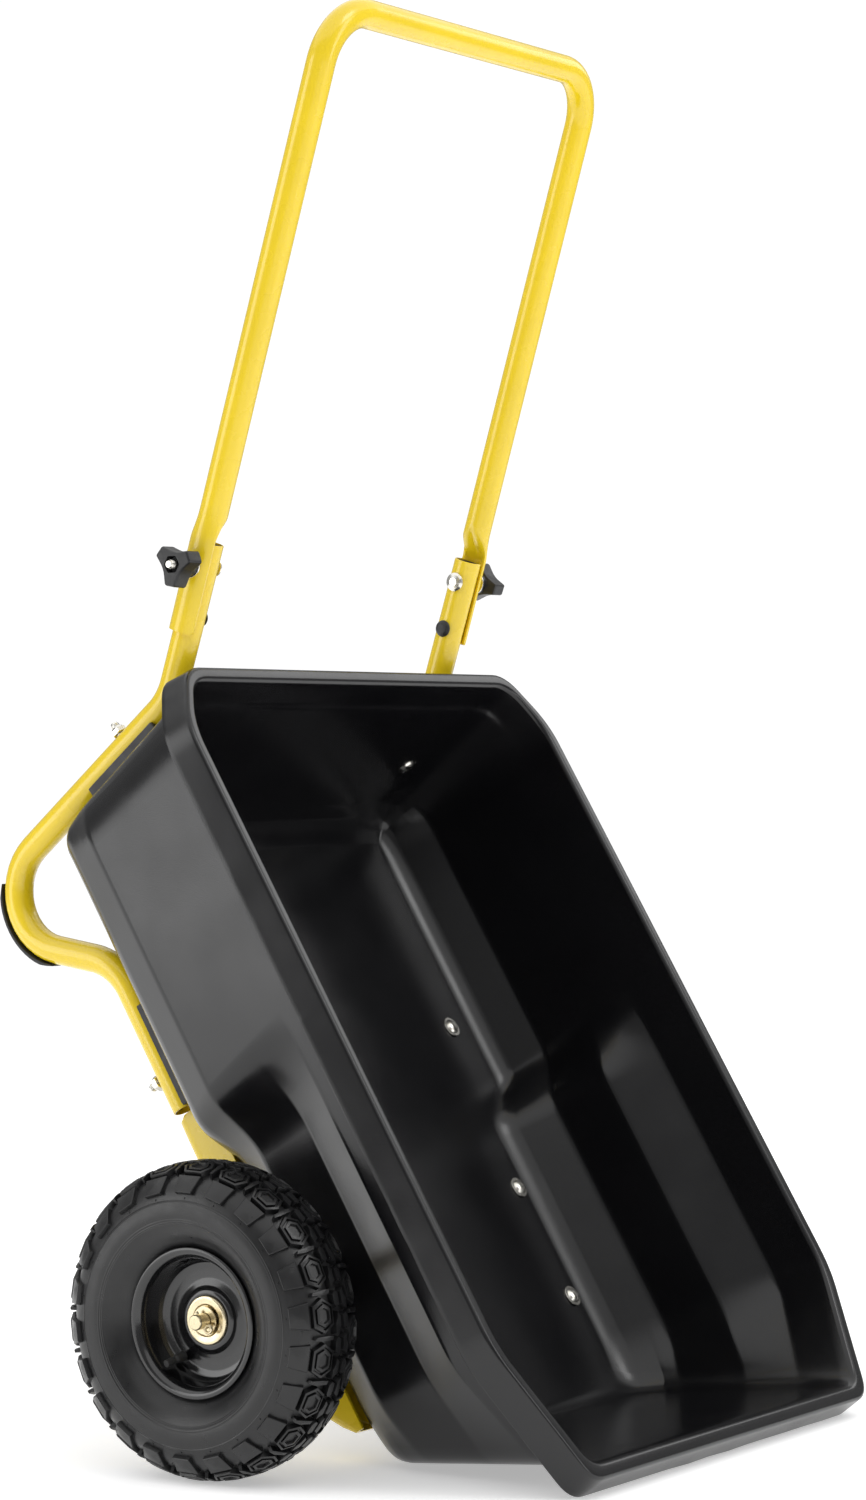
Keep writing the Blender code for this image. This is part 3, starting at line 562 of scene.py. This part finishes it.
def make_spacer(name, node, start, end, top_at):
    """A saddle block along a straight run of rail. top_at gives its height over the rail's centre."""
    direction = (end - start).normalized()
    up = Vector((0, 1, 0)).cross(direction)
    if up.dot(Vector((1, 0, 1))) < 0:
        up = -up
    bm = bmesh.new()
    rings = []
    for t in (0.0, 0.02, 0.5, 0.98, 1.0):
        p = start.lerp(end, t)
        shrink = 0.0008 if t in (0.0, 1.0) else 0.0
        section = saddle_section(top_at(t) - shrink, SPACER_HALF_WIDTH - shrink)
        rings.append([p + up * s.y + Vector((0, s.x, 0)) for s in section])
    loft(bm, rings, caps=True)
    piece(name, bm, GREY_PLASTIC, TUB, "cart", [node])


def make_spacers(side, sign):
    """The saddles between a rail and the tub's back wall and floor."""
    y = sign * RAIL_Y
    (x0, z0), (x1, z1) = RAIL_CORNERS[1:3]
    floor_run_z = RAIL_CORNERS[4][1]

    def rail_at(z):
        return Vector((x0 + (x1 - x0) * (z - z0) / (z1 - z0), y, z))

    high, low = BACK_SPACER_RUN
    lean = math.atan2(x1 - x0, z0 - z1)

    def over_back(t):
        z = high + (low - high) * t
        wall = at(BACK, -z) - BACK_WALL_THICKNESS - GAP
        return (wall - rail_at(z).x) * math.cos(lean)

    make_spacer("rear_saddle_" + side, "back_spacer_" + side, rail_at(high), rail_at(low), over_back)
    floor_top = FLOOR_UNDER - GAP - floor_run_z
    start, end = (Vector((x, y, floor_run_z)) for x in FLOOR_SPACER_RUN)
    make_spacer("floor_saddle_" + side, "floor_spacer_" + side, start, end, lambda t: floor_top)


def make_bracket(side, sign):
    """A pressed channel under the floor, with rolled edges and a tapered front end."""
    bm = bmesh.new()
    rings = []
    top = FLOOR_UNDER - GAP
    stations = ((0.3082, 0.034), (0.312, 0.0395), (0.330, 0.040), (0.45, 0.040), (0.572, 0.040))
    stations += ((0.592, 0.034), (0.608, 0.022), (0.618, 0.010))
    half, inner = BRACKET_HALF_WIDTH, BRACKET_HALF_WIDTH - BRACKET_SHEET
    for x, depth in stations:
        radius = min(0.012, depth * 0.6)
        web = top - depth + BRACKET_SHEET
        profile = [(-half, top), (-half, top - depth), (half, top - depth), (half, top)]
        profile += [(inner, top), (inner, web), (-inner, web), (-inner, top)]
        reaches = [0.0005, radius, radius, 0.0005, 0.0005, 0.008, 0.008, 0.0005]
        section = softened(profile, reaches, steps=5, closed=True)
        rings.append([(x, sign * BRACKET_Y + s.x, s.y) for s in section])
    loft(bm, rings, caps=True)
    piece("bracket_channel_" + side, bm, YELLOW, TUB, "cart", ["axle_bracket_" + side])


# ---------------------------------------------------------------- handle


def eased(t):
    """A share from 0 to 1, slow at both ends."""
    t = min(1.0, max(0.0, t))
    return t * t * (3 - 2 * t)


def leg_section(t, spread=1.0):
    """A leg's section while it turns from a pressed saddle (0) to a tube (1): (outward, along X) points."""
    points = []
    count = 40
    middle = (SADDLE_INNER + SADDLE_OUTER) / 2
    half = (SADDLE_OUTER - SADDLE_INNER) / 2
    for i in range(count):
        turn = 2 * math.pi * i / count
        c, side = math.cos(turn), math.sin(turn)
        lateral = math.asin(side) / (math.pi / 2)
        reach = middle + half * max(-1.0, min(1.0, c * 7.0))
        angle = lateral * SADDLE_SPREAD * spread
        flat = Vector((SADDLE_Y + reach * math.cos(angle), reach * math.sin(angle)))
        tube = Vector((LEG_Y + TUBE_R * c, TUBE_R * side))
        rise = t * (1 + 0.7 * abs(lateral)) if c < 0 else t * 1.25
        points.append(flat.lerp(tube, eased(rise)))
    return points


def leg_rings(sign):
    """Rings up one leg, from its pressed tail to where it is a plain tube."""
    rings = []

    def add(z, section):
        rings.append([(-s.y, sign * s.x, z) for s in section])

    for z, spread in ((-PLATE_TAIL, 0.86), (-PLATE_TAIL + 0.0010, 0.95), (-PLATE_TAIL + 0.0030, 1.0)):
        add(z, leg_section(0.0, spread))
    for z in (-0.04, -0.02, 0.0, PLATE_TOP):
        add(z, leg_section(0.0))
    steps = 18
    for i in range(1, steps + 1):
        add(PLATE_TOP + PRESSED_LENGTH * i / steps, leg_section(i / steps))
    return rings


def make_handle():
    """The loop handle in one skin: up the right leg, round the grip and down the left leg."""
    rings = leg_rings(-1)
    corners = [(-LEG_Y, LEG_TUBE_START), (-LEG_Y, LEG_LENGTH), (LEG_Y, LEG_LENGTH), (LEG_Y, LEG_TUBE_START)]
    path = bent(corners, (HANDLE_BEND, HANDLE_BEND), 18)
    directions = along(path)
    section = [p - Vector((LEG_Y, 0.0)) for p in leg_section(1.0)]
    for p, d in zip(path, directions):
        rings.append([(-s.y, p.x - s.x * d.y, p.y + s.x * d.x) for s in section])
    rings += leg_rings(1)[::-1]
    bm = bmesh.new()
    loft(bm, rings, caps=True)
    piece("loop_handle", bm, YELLOW, HANDLE, "handle", ["handle"], sharp=50.0)


# ---------------------------------------------------------------- fasteners and knobs


def make_dome_bolt(name, node, matrix, tail, head_r=0.0088, head_h=0.0040, washer=True, body="cart"):
    """A dome-head bolt: its head stands up local Z from the seat, and its tail has thread rings."""
    shank = 0.004
    dome_r = head_r * (0.72 if washer else 1.0)
    profile = [
        (0.0, head_h),
        (0.45 * dome_r, 0.92 * head_h),
        (0.80 * dome_r, 0.66 * head_h),
        (dome_r, 0.30 * head_h),
    ]
    if washer:
        profile += [(dome_r * 1.01, 0.0013), (head_r, 0.0012)]
    profile += [(head_r, 0.0), (shank, 0.0)]
    pitch = 0.00125
    start = -(tail - 0.016)
    turns = int(0.015 / pitch)
    for i in range(turns):
        profile.append((shank, start - i * pitch))
        profile.append((shank - 0.00055, start - (i + 0.5) * pitch))
    profile += [(shank - 0.001, -tail), (0.0, -tail)]
    turned(name, profile, BRIGHT_ZINC, matrix, body, [node], reach=0.0003, steps=32, sharp=50.0)


def make_nut(name, node, matrix, body="cart"):
    """A hexagon lock nut with chamfered corners and a collar, centred on its node."""
    half = 0.00325
    flat = 0.0065
    corner = flat / math.cos(math.pi / 6)
    bm = bmesh.new()
    rings = []
    levels = (
        (flat * 0.97, -half, 1),
        (flat * 1.06, -half + 0.0005, 0),
        (flat * 1.06, half - 0.0022, 0),
        (flat * 0.95, half - 0.0016, 1),
        (flat * 0.80, half, 1),
        (0.0046, half, 1),
        (0.0046, -half, 1),
    )
    count = 36
    for radius, z, is_round in levels:
        ring = []
        for i in range(count):
            turn = 2 * math.pi * i / count
            folded = (turn + math.pi / 6) % (math.pi / 3) - math.pi / 6
            reach = radius if is_round else min(flat / math.cos(folded), corner * 0.985)
            ring.append((reach * math.cos(turn), reach * math.sin(turn), z))
        rings.append(ring)
    loft(bm, rings, loop=True)
    piece(name, bm, BRIGHT_ZINC, matrix, body, [node], sharp=25.0)


def centre(node):
    """The middle of a CAD node's box."""
    low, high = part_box(node)
    return (low + high) / 2


def make_tub_fasteners():
    """Each bolt's axis runs from its own centre to its nut's."""
    for i in range(1, 9):
        number = str(i)
        bolt, nut = "tub_bolt_" + number, "tub_nut_" + number
        out = (centre(nut) - centre(bolt)).normalized()
        heights = [(Vector(v.co) - centre(nut)).dot(out) for v in frame["nodes"][bolt].data.vertices]
        reach, inner = max(heights), min(heights)
        seat = centre(nut) + out * (inner + 0.003)
        make_dome_bolt("dome_bolt_" + number, bolt, facing(seat, -out), reach - inner - 0.003, *TUB_BOLT_HEAD)
        make_nut("lock_nut_" + number, nut, facing(centre(nut), out))


def knob_outline(radius, valley, flat_half, spin):
    """Three lobes with flat ends and shallow valleys."""
    corners = []
    for lobe in range(3):
        turn = spin + lobe * 2 * math.pi / 3
        for across in (-flat_half, flat_half):
            x, y = radius, across
            corners.append((x * math.cos(turn) - y * math.sin(turn), x * math.sin(turn) + y * math.cos(turn)))
        middle = turn + math.pi / 3
        corners.append((valley * math.cos(middle), valley * math.sin(middle)))
    return softened(corners, [0.0016, 0.0016, 0.006] * 3, steps=4, closed=True)


def make_knob(side, sign):
    """A three-lobed knob with a neck and a hexagon socket round the bolt's tip. Local Z points outwards."""
    top = KNOB_LENGTH
    spin = math.radians(20.0)
    lobes = knob_outline(0.0192, 0.0106, 0.0051, spin)
    order = sorted(lobes, key=lambda p: math.atan2(p.y, p.x))

    def ring_round(radius, z):
        turns = [math.atan2(p.y, p.x) for p in order]
        return [(radius * math.cos(t), radius * math.sin(t), z) for t in turns]

    def ring_lobed(scale, z):
        return [(p.x * scale, p.y * scale, z) for p in order]

    def ring_hex(radius, z):
        ring = []
        for p in order:
            turn = math.atan2(p.y, p.x)
            folded = turn % (math.pi / 3) - math.pi / 6
            reach = radius * math.cos(math.pi / 6) / math.cos(folded)
            ring.append((reach * math.cos(turn), reach * math.sin(turn), z))
        return ring

    rings = [
        ring_round(0.0046, 0.0),
        ring_round(0.0090, 0.0),
        ring_round(0.0098, 0.0008),
        ring_round(0.0098, 0.0052),
        ring_lobed(0.80, 0.0062),
        ring_lobed(0.96, 0.0070),
        ring_lobed(1.0, 0.0085),
        ring_lobed(0.985, top - 0.0028),
        ring_lobed(0.955, top - 0.0012),
        ring_lobed(0.88, top - 0.0002),
        ring_lobed(0.72, top),
        ring_hex(0.0082, top),
        ring_hex(0.0080, top - 0.0006),
        ring_hex(0.0078, top - 0.0075),
        ring_round(0.0046, top - 0.0080),
    ]
    bm = bmesh.new()
    loft(bm, rings, loop=True)
    axis = PIVOT + Vector((0, sign * KNOB_Y, 0))
    matrix = Matrix.Translation(axis) @ Matrix.Rotation(-sign * math.pi / 2, 4, "X")
    piece("lobed_knob_" + side, bm, KNOB_PLASTIC, matrix, "knob_" + side, ["knob_" + side], sharp=30.0)


def make_pivot_fittings(side, sign):
    """The pivot bolt, the washer under its knob, and the domed plug in the rail below it."""
    low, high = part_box("pivot_bolt_" + side)
    inner, outer = (low.y, high.y) if sign > 0 else (high.y, low.y)
    head_h = PIVOT_HEAD_HEIGHT
    seat = Vector((PIVOT.x, inner + sign * head_h, PIVOT.z))
    length = abs(outer - seat.y) - 0.0028
    name, matrix = "pivot_dome_bolt_" + side, facing(seat, (0, -sign, 0))
    make_dome_bolt(name, "pivot_bolt_" + side, matrix, length, head_h=head_h, washer=False)
    profile = [(0.0044, 0.0007), (0.0105, 0.0007), (0.0105, -0.0007), (0.0044, -0.0007)]
    matrix = facing(centre("knob_washer_" + side), (0, sign, 0))
    node = "knob_washer_" + side
    turned("flat_washer_" + side, profile, BRIGHT_ZINC, matrix, "cart", [node], reach=0.0003, closed=True)
    low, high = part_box("snap_plug_" + side)
    middle = (low + high) / 2
    seat = Vector((middle.x, (high.y if sign > 0 else low.y) - sign * 0.0030, middle.z))
    dome = [
        (0.0, 0.0038),
        (0.0048, 0.0032),
        (0.0074, 0.0015),
        (0.0080, 0.0002),
        (0.0040, 0.0002),
        (0.0040, -0.0030),
        (0.0, -0.0030),
    ]
    matrix = facing(seat, (0, -sign, 0))
    turned("domed_plug_" + side, dome, KNOB_PLASTIC, matrix, "cart", ["snap_plug_" + side], reach=0.0006)


# ---------------------------------------------------------------- wheels

# The tyre's section as (radius, distance from its middle plane), from the crown to the bead, and back inside.
CARCASS = (
    (0.1246, 0.0),
    (0.1242, 0.0090),
    (0.1226, 0.0180),
    (0.1186, 0.0265),
    (0.1120, 0.0340),
    (0.1030, 0.0388),
    (0.0930, 0.0410),
    (0.0830, 0.0402),
    (0.0740, 0.0360),
    (0.0670, 0.0302),
    (0.0618, 0.0252),
    (0.0543, 0.0240),
)
BEAD_INSIDE = (
    (0.0543, 0.0190),
    (0.0640, 0.0235),
    (0.0780, 0.0320),
    (0.0920, 0.0345),
    (0.1090, 0.0290),
    (0.1190, 0.0150),
)
PITCHES = 22  # times that the tread repeats round the tyre
CARCASS_SAMPLES = 150
CARCASS_STEPS = 120
HAIR_BANDS = ((0.010, 0.018), (0.019, 0.027), (0.030, 0.044))
NUB_DISTANCE = 0.0482


def smooth_through(points, steps=5):
    """A Catmull-Rom curve through points."""
    points = [Vector(p) for p in points]
    result = []
    for i in range(len(points) - 1):
        a = points[max(i - 1, 0)]
        b, c = points[i], points[i + 1]
        d = points[min(i + 2, len(points) - 1)]
        for k in range(steps):
            t = k / steps
            square, cube = a * 2 - b * 5 + c * 4 - d, b * 3 - a - c * 3 + d
            value = b * 2 + (c - a) * t + square * t * t + cube * t ** 3
            result.append(value / 2)
    result.append(points[-1])
    return result


HALF_SECTION = smooth_through(CARCASS)


def section_at(distance):
    """(point, outward normal) of the carcass section, a distance from the crown's middle towards the bead."""
    side = 1.0 if distance >= 0 else -1.0
    left = abs(distance)
    for a, b in zip(HALF_SECTION, HALF_SECTION[1:]):
        length = (b - a).length
        if left <= length:
            p = a.lerp(b, left / length)
            d = (b - a).normalized()
            return Vector((p.x, p.y * side)), Vector((d.y, -d.x * side))
        left -= length
    return Vector((HALF_SECTION[-1].x, HALF_SECTION[-1].y * side)), Vector((0.0, side))


def on_tyre(turn, distance, lift):
    """A point at a turn round the tyre and a distance from the crown, lifted off the carcass."""
    p, normal = section_at(distance)
    radius = p.x + normal.x * lift
    height = p.y + normal.y * lift
    return (radius * math.cos(turn), radius * math.sin(turn), height)


def tread_block(bm, shape, start, flip, levels):
    """A raised block. shape is (pitch fraction, distance) corners, and each level is (scale, lift)."""
    pitch = 2 * math.pi / PITCHES
    middle = sum((Vector(p) for p in shape), Vector((0, 0))) / len(shape)
    rings = []
    for scale, lift in levels:
        ring = []
        for corner in shape:
            p = middle + (Vector(corner) - middle) * scale
            ring.append(on_tyre(start + p.x * pitch, flip * p.y, lift))
        rings.append(ring)
    rows = loft(bm, rings)
    bm.faces.new(rows[-1])


# Tread blocks: (pitch fraction, distance from the crown) corners, and (scale, lift) levels up each block.
NESTED = ((1.05, -0.001), (1.0, 0.0020), (0.95, 0.0050), (0.80, 0.0053), (0.76, 0.0030), (0.66, 0.0030))
NESTED += ((0.62, 0.0053), (0.44, 0.0054), (0.40, 0.0034), (0.32, 0.0034))
SOLID_BLOCK = ((1.05, -0.001), (1.0, 0.0020), (0.90, 0.0053), (0.30, 0.0054))
SIDE_LUG = ((1.03, -0.001), (1.0, 0.0010), (0.95, 0.0036), (0.90, 0.0040), (0.30, 0.0041))
HEXAGON_BLOCK = ((0.03, 0.0190), (0.20, 0.0098), (0.66, 0.0098))
HEXAGON_BLOCK += ((0.84, 0.0190), (0.68, 0.0278), (0.18, 0.0278))
SIDE_BLOCK = ((0.13, 0.0293), (0.80, 0.0293), (0.74, 0.0450), (0.19, 0.0450))
HOOK_BLOCK = ((0.87, 0.0215), (0.89, 0.0110), (0.98, 0.0098))
HOOK_BLOCK += ((0.995, 0.0150), (0.975, 0.0262), (0.90, 0.0272))
ARROW_BLOCK = ((0.00, 0.0078), (0.12, 0.0014), (0.40, 0.0014), (0.50, 0.0050), (0.34, 0.0058), (0.22, 0.0084))
CROWN_BLOCK = ((0.56, 0.0058), (0.62, 0.0014), (0.90, 0.0014), (0.95, 0.0054), (0.86, 0.0084), (0.64, 0.0084))


def ridged(distance):
    """Fine moulded rings on the side wall."""
    if 0.0500 < distance < 0.0535 or 0.0650 < distance < 0.0705:
        return 0.00035 * max(0.0, math.cos(2 * math.pi * distance / 0.0017))
    return 0.0


def make_tyre(side, matrix):
    """The carcass, with its tread blocks, vent stubs and moulding hairs."""
    length = sum((b - a).length for a, b in zip(HALF_SECTION, HALF_SECTION[1:]))
    half = []
    for i in range(CARCASS_SAMPLES + 1):
        distance = length * i / CARCASS_SAMPLES * 0.9999
        p, normal = section_at(distance)
        half.append(p + normal * ridged(distance))
    inner = smooth_through(BEAD_INSIDE, 3)
    full = [(p.x, -p.y) for p in half[::-1]] + [(p.x, p.y) for p in half[1:]]
    full += [(p.x, p.y) for p in inner] + [(p.x, -p.y) for p in inner[::-1]]
    bm = bmesh.new()
    rings = []
    for r, h in full:
        turn = 2 * math.pi / CARCASS_STEPS
        rings.append([(r * math.cos(i * turn), r * math.sin(i * turn), h) for i in range(CARCASS_STEPS)])
    loft(bm, rings, loop=True)
    pitch = 2 * math.pi / PITCHES
    hairs = random.Random(7)
    blocks = (
        (HEXAGON_BLOCK, NESTED),
        (SIDE_BLOCK, SIDE_LUG),
        (HOOK_BLOCK, SOLID_BLOCK),
        (ARROW_BLOCK, SOLID_BLOCK),
        (CROWN_BLOCK, SOLID_BLOCK),
    )
    for flip in (1, -1):
        for i in range(PITCHES):
            start = (i + (0.5 if flip < 0 else 0.0)) * pitch
            for shape, levels in blocks:
                tread_block(bm, shape, start, flip, levels)
            for low, high in HAIR_BANDS:
                spot = start + hairs.uniform(0.1, 0.75) * pitch
                add_hair(bm, spot, flip * hairs.uniform(low, high), hairs)
            add_nub(bm, start + 0.45 * pitch, flip * NUB_DISTANCE)
    piece("treaded_tyre_" + side, bm, TYRE, matrix, "wheel_" + side, ["tyre_" + side], sharp=32.0)


def add_nub(bm, turn, distance):
    """A vent's little round stub on the side wall."""
    low, high = [], []
    for i in range(8):
        a = 2 * math.pi * i / 8
        low.append(on_tyre(turn + 0.0095 * math.cos(a), distance + 0.0010 * math.sin(a), -0.0004))
        high.append(on_tyre(turn + 0.0080 * math.cos(a), distance + 0.0008 * math.sin(a), 0.0006))
    loft(bm, [low, high], caps=True)


def add_hair(bm, turn, distance, hairs):
    """A moulding hair: the little rubber whisker that a mould's vent leaves."""
    height = hairs.uniform(0.0010, 0.0022)
    lean = hairs.uniform(-0.006, 0.006)
    foot = 0.0028 if abs(distance) > 0.028 else 0.0025
    low, high = [], []
    for i in range(3):
        a = 2 * math.pi * i / 3
        low.append(on_tyre(turn + 0.0035 * math.cos(a), distance + 0.0004 * math.sin(a), foot))
        top_turn = turn + lean + 0.002 * math.cos(a)
        high.append(on_tyre(top_turn, distance + 0.0002 * math.sin(a), foot + height))
    loft(bm, [low, high], caps=True)


# The outer rim half as (radius, height over the wheel's middle plane). The inner half is its mirror image.
RIM_SECTION = (
    (0.0188, 0.0055),
    (0.0228, 0.0058),
    (0.0255, 0.0044),
    (0.0270, 0.0016),
    (0.0330, 0.0004),
    (0.0420, 0.0004),
    (0.0470, 0.0016),
    (0.0500, 0.0070),
    (0.0518, 0.0210),
    (0.0538, 0.0255),
    (0.0570, 0.0284),
    (0.0612, 0.0284),
    (0.0618, 0.0266),
    (0.0590, 0.0250),
    (0.0548, 0.0235),
    (0.0535, 0.0200),
    (0.0530, 0.0080),
    (0.0500, 0.0003),
    (0.0340, 0.0002),
    (0.0250, 0.0002),
    (0.0188, 0.0030),
)


def make_wheel(side, sign):
    """Tyre, both rim halves, hub sleeve, bushes and valve. Local Z points outwards."""
    hub = AXLE + Vector((0, sign * WHEEL_Y, 0))
    matrix = Matrix.Translation(hub) @ Matrix.Rotation(-sign * math.pi / 2, 4, "X")
    body = "wheel_" + side
    make_tyre(side, matrix)
    turned("rim_dish_" + side, RIM_SECTION, RIM_PAINT, matrix, body, ["rim_outer_" + side], 0.0016, 96, True)
    behind = [(r, -h) for r, h in RIM_SECTION[::-1]]
    turned("rim_back_" + side, behind, RIM_PAINT, matrix, body, ["rim_inner_" + side], 0.0016, 96, True)
    sleeve = [(0.0160, 0.0055), (0.0185, 0.0055), (0.0185, -0.0400), (0.0160, -0.0400)]
    turned("hub_sleeve_" + side, sleeve, RIM_PAINT, matrix, body, ["hub_tube_" + side], 0.0004, 48, True)
    bush = [
        (SLEEVE_BORE, 0.0066),
        (0.0125, 0.0066),
        (0.0135, 0.0078),
        (0.0180, 0.0082),
        (0.0196, 0.0078),
        (0.0205, 0.0066),
        (0.0205, 0.0058),
        (0.0157, 0.0058),
        (0.0157, -0.0060),
        (SLEEVE_BORE, -0.0060),
    ]
    turned("flanged_bush_" + side, bush, ZINC, matrix, body, ["bearing_outer_" + side], 0.0005, 64, True)
    rear = [(r, -h - 0.0345) for r, h in bush[::-1]]
    turned("rear_bush_" + side, rear, ZINC, matrix, body, ["bearing_inner_" + side], 0.0005, 64, True)
    make_valve(side, body)


def make_valve(side, body):
    """The valve stem leans out of the rim dish, with a ribbed cap."""
    verts = [Vector(v.co) for v in frame["nodes"]["valve_stem_" + side].data.vertices]
    middle = sum(verts, Vector()) / len(verts)
    out = Vector((0.0, math.copysign(1.0, middle.y), 0.0))
    foot = min(verts, key=lambda v: v.dot(out))
    tip = max(verts, key=lambda v: v.dot(out))
    near_foot = [v for v in verts if abs((v - foot).dot(out)) < 0.003]
    near_tip = [v for v in verts if abs((v - tip).dot(out)) < 0.002]
    base = sum(near_foot, Vector()) / len(near_foot)
    head = sum(near_tip, Vector()) / len(near_tip)
    length = (head - base).length
    profile = [(0.0, length), (0.0030, length)]
    for i in range(4):
        profile.append((0.0034, length - 0.0012 - i * 0.0018))
        profile.append((0.0031, length - 0.0021 - i * 0.0018))
    profile += [(0.0025, length - 0.009), (0.0038, length * 0.42), (0.0044, 0.0), (0.0, 0.0)]
    matrix = facing(base, head - base)
    turned("valve_and_cap_" + side, profile, RUBBER, matrix, body, ["valve_stem_" + side], 0.0004, 24)


def make_axle_end(side, sign):
    """The washer, split pin and spacer sleeve at one end of the axle."""
    washer = [(WASHER_BORE, 0.0008), (0.0115, 0.0008), (0.0115, -0.0008), (WASHER_BORE, -0.0008)]
    matrix = facing(centre("axle_washer_" + side), (0, sign, 0))
    node = "axle_washer_" + side
    turned("axle_flat_washer_" + side, washer, ZINC, matrix, "cart", [node], 0.0003, 48, True)
    pin = centre("cotter_pin_" + side)
    bm = bmesh.new()
    path = [Vector((-0.0088, 0.0)), Vector((-0.0040, 0.0)), Vector((0.0085, 0.0))]
    for i in range(1, 15):
        turn = -math.pi / 2 + i * 1.9 * math.pi / 15
        path.append(Vector((0.0085 + 0.0032 * math.cos(turn), 0.0032 + 0.0032 * math.sin(turn))))
    points = [Vector((p.x, 0.0, p.y)) for p in path]
    rings = []
    left = Vector((0, 1, 0))
    turns = [i * (2 * math.pi / 12) for i in range(12)]
    for p, d in zip(points, along(points)):
        across = d.cross(left)
        rings.append([p + (across * math.cos(t) + left * math.sin(t)) * SPLIT_PIN_WIRE for t in turns])
    loft(bm, rings, caps=True)
    matrix = Matrix.Translation(Vector((AXLE.x, pin.y, AXLE.z))) @ TURN
    piece("split_pin_" + side, bm, ZINC, matrix, "cart", ["cotter_pin_" + side])
    sleeve_low, sleeve_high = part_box("axle_spacer_" + side)
    half = (sleeve_high.y - sleeve_low.y) / 2
    sleeve = [(SLEEVE_BORE, half), (0.0085, half), (0.0085, -half), (SLEEVE_BORE, -half)]
    matrix = facing(centre("axle_spacer_" + side), (0, sign, 0))
    turned("axle_sleeve_" + side, sleeve, ZINC, matrix, "cart", ["axle_spacer_" + side], 0.0004, 32, True)


def make_axle():
    """The axle, with a small chamfer at each end."""
    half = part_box("axle")[1].y
    rounded = AXLE_RADIUS - 0.0008
    profile = [(0.0, half), (rounded, half), (AXLE_RADIUS, half - 0.0012)]
    profile += [(AXLE_RADIUS, -half + 0.0012), (rounded, -half), (0.0, -half)]
    turned("axle_shaft", profile, ZINC, facing(AXLE, (0, 1, 0)), "cart", ["axle"], 0.0003, 40)


# ---------------------------------------------------------------- studio

FLOOR_SIZE = 9.0
CAMERA_LENS = 92.5
CAMERA_FROM_AXLE = (1.871, -2.839)  # in x from the axle, and in y from the middle
CAMERA_HEIGHT = 0.602
CAMERA_DOWN = 0.169  # degrees below level
CAMERA_HEADING = 33.33  # degrees left of +Y


def soft_light(name, location, target, size, radiance, tint=(1.0, 1.0, 1.0)):
    """A rectangular softbox of a given brightness that looks at a target."""
    light = bpy.data.lights.new(name, "AREA")
    light.shape = "RECTANGLE"
    light.size, light.size_y = size
    light.energy = radiance * math.pi * size[0] * size[1]
    light.color = tint
    obj = bpy.data.objects.new(name, light)
    obj.location = location
    obj.rotation_euler = (Vector(target) - Vector(location)).to_track_quat("-Z", "Y").to_euler()
    bpy.context.scene.collection.objects.link(obj)


def make_backdrop():
    """White behind everything for the camera, and a dimmer grey all round for the light."""
    world = bpy.data.worlds.new("studio")
    world.use_nodes = True
    nodes, links = world.node_tree.nodes, world.node_tree.links
    ambient = nodes["Background"]
    ambient.inputs["Color"].default_value = (1.0, 1.0, 1.0, 1.0)
    ambient.inputs["Strength"].default_value = 0.34
    seen = nodes.new("ShaderNodeBackground")
    seen.inputs["Strength"].default_value = 1.05
    seen.inputs["Color"].default_value = (1.0, 1.0, 1.0, 1.0)
    either = nodes.new("ShaderNodeMixShader")
    links.new(nodes.new("ShaderNodeLightPath").outputs["Is Camera Ray"], either.inputs["Fac"])
    links.new(ambient.outputs["Background"], either.inputs[1])
    links.new(seen.outputs["Background"], either.inputs[2])
    links.new(either.outputs["Shader"], nodes["World Output"].inputs["Surface"])
    bpy.context.scene.world = world


def make_studio():
    """A pale floor, small enough to end while it is still white, and five softboxes."""
    bpy.ops.mesh.primitive_plane_add(size=FLOOR_SIZE, location=(0, 0, 0))
    floor = bpy.context.object
    floor.name = "floor"
    pale = surface("studio_floor", (0.90, 0.90, 0.90), 0.85, mottle=(1.5, 0.01), grain=(60.0, 0.01))
    glow = pale.node_tree.nodes["Principled BSDF"]
    glow.inputs["Emission Color"].default_value = (1.0, 1.0, 1.0, 1.0)
    glow.inputs["Emission Strength"].default_value = 0.40
    floor.data.materials.append(pale)
    make_backdrop()
    middle = Vector((0.0, 0.0, 0.6))
    soft_light("left_softbox", middle + Vector((-2.2, -2.7, 0.45)), middle, (1.6, 2.2), 2.7)
    soft_light("right_softbox", middle + Vector((3.4, 0.5, 0.9)), middle, (1.1, 2.4), 3.0)
    soft_light("back_softbox", middle + Vector((1.1, 3.2, 1.9)), middle, (1.6, 1.2), 1.9)
    soft_light("key_softbox", middle + Vector((2.15, 0.0, 2.4)), middle, (1.1, 1.1), 4.0)
    soft_light("top_softbox", middle + Vector((0.0, 0.0, 5.0)), middle, (14.0, 14.0), 0.90)
    bpy.context.scene.view_settings.view_transform = "Standard"


def make_camera():
    """The photo's viewpoint: from the front right, level with the tub's rim."""
    data = bpy.data.cameras.new("camera")
    data.lens = CAMERA_LENS
    data.sensor_width = 36.0
    data.clip_end = 60.0
    obj = bpy.data.objects.new("camera", data)
    obj.location = (AXLE.x + CAMERA_FROM_AXLE[0], CAMERA_FROM_AXLE[1], CAMERA_HEIGHT)
    obj.rotation_euler = (math.radians(90.0 - CAMERA_DOWN), 0.0, math.radians(CAMERA_HEADING))
    bpy.context.scene.collection.objects.link(obj)
    bpy.context.scene.camera = obj


# Only the inner tubes keep their CAD shape. Every other node is replaced by a piece.
for node in frame["nodes"].values():
    node.data.materials.clear()
    node.data.materials.append(RUBBER)

make_tub()
make_tub_fasteners()
make_handle()
make_axle()
for side_name, side_sign in (("right", -1), ("left", 1)):
    make_rail(side_name, side_sign)
    make_foot_pad(side_name, side_sign)
    make_spacers(side_name, side_sign)
    make_bracket(side_name, side_sign)
    make_wheel(side_name, side_sign)
    make_axle_end(side_name, side_sign)
    make_pivot_fittings(side_name, side_sign)
    make_knob(side_name, side_sign)
make_studio()
make_camera()
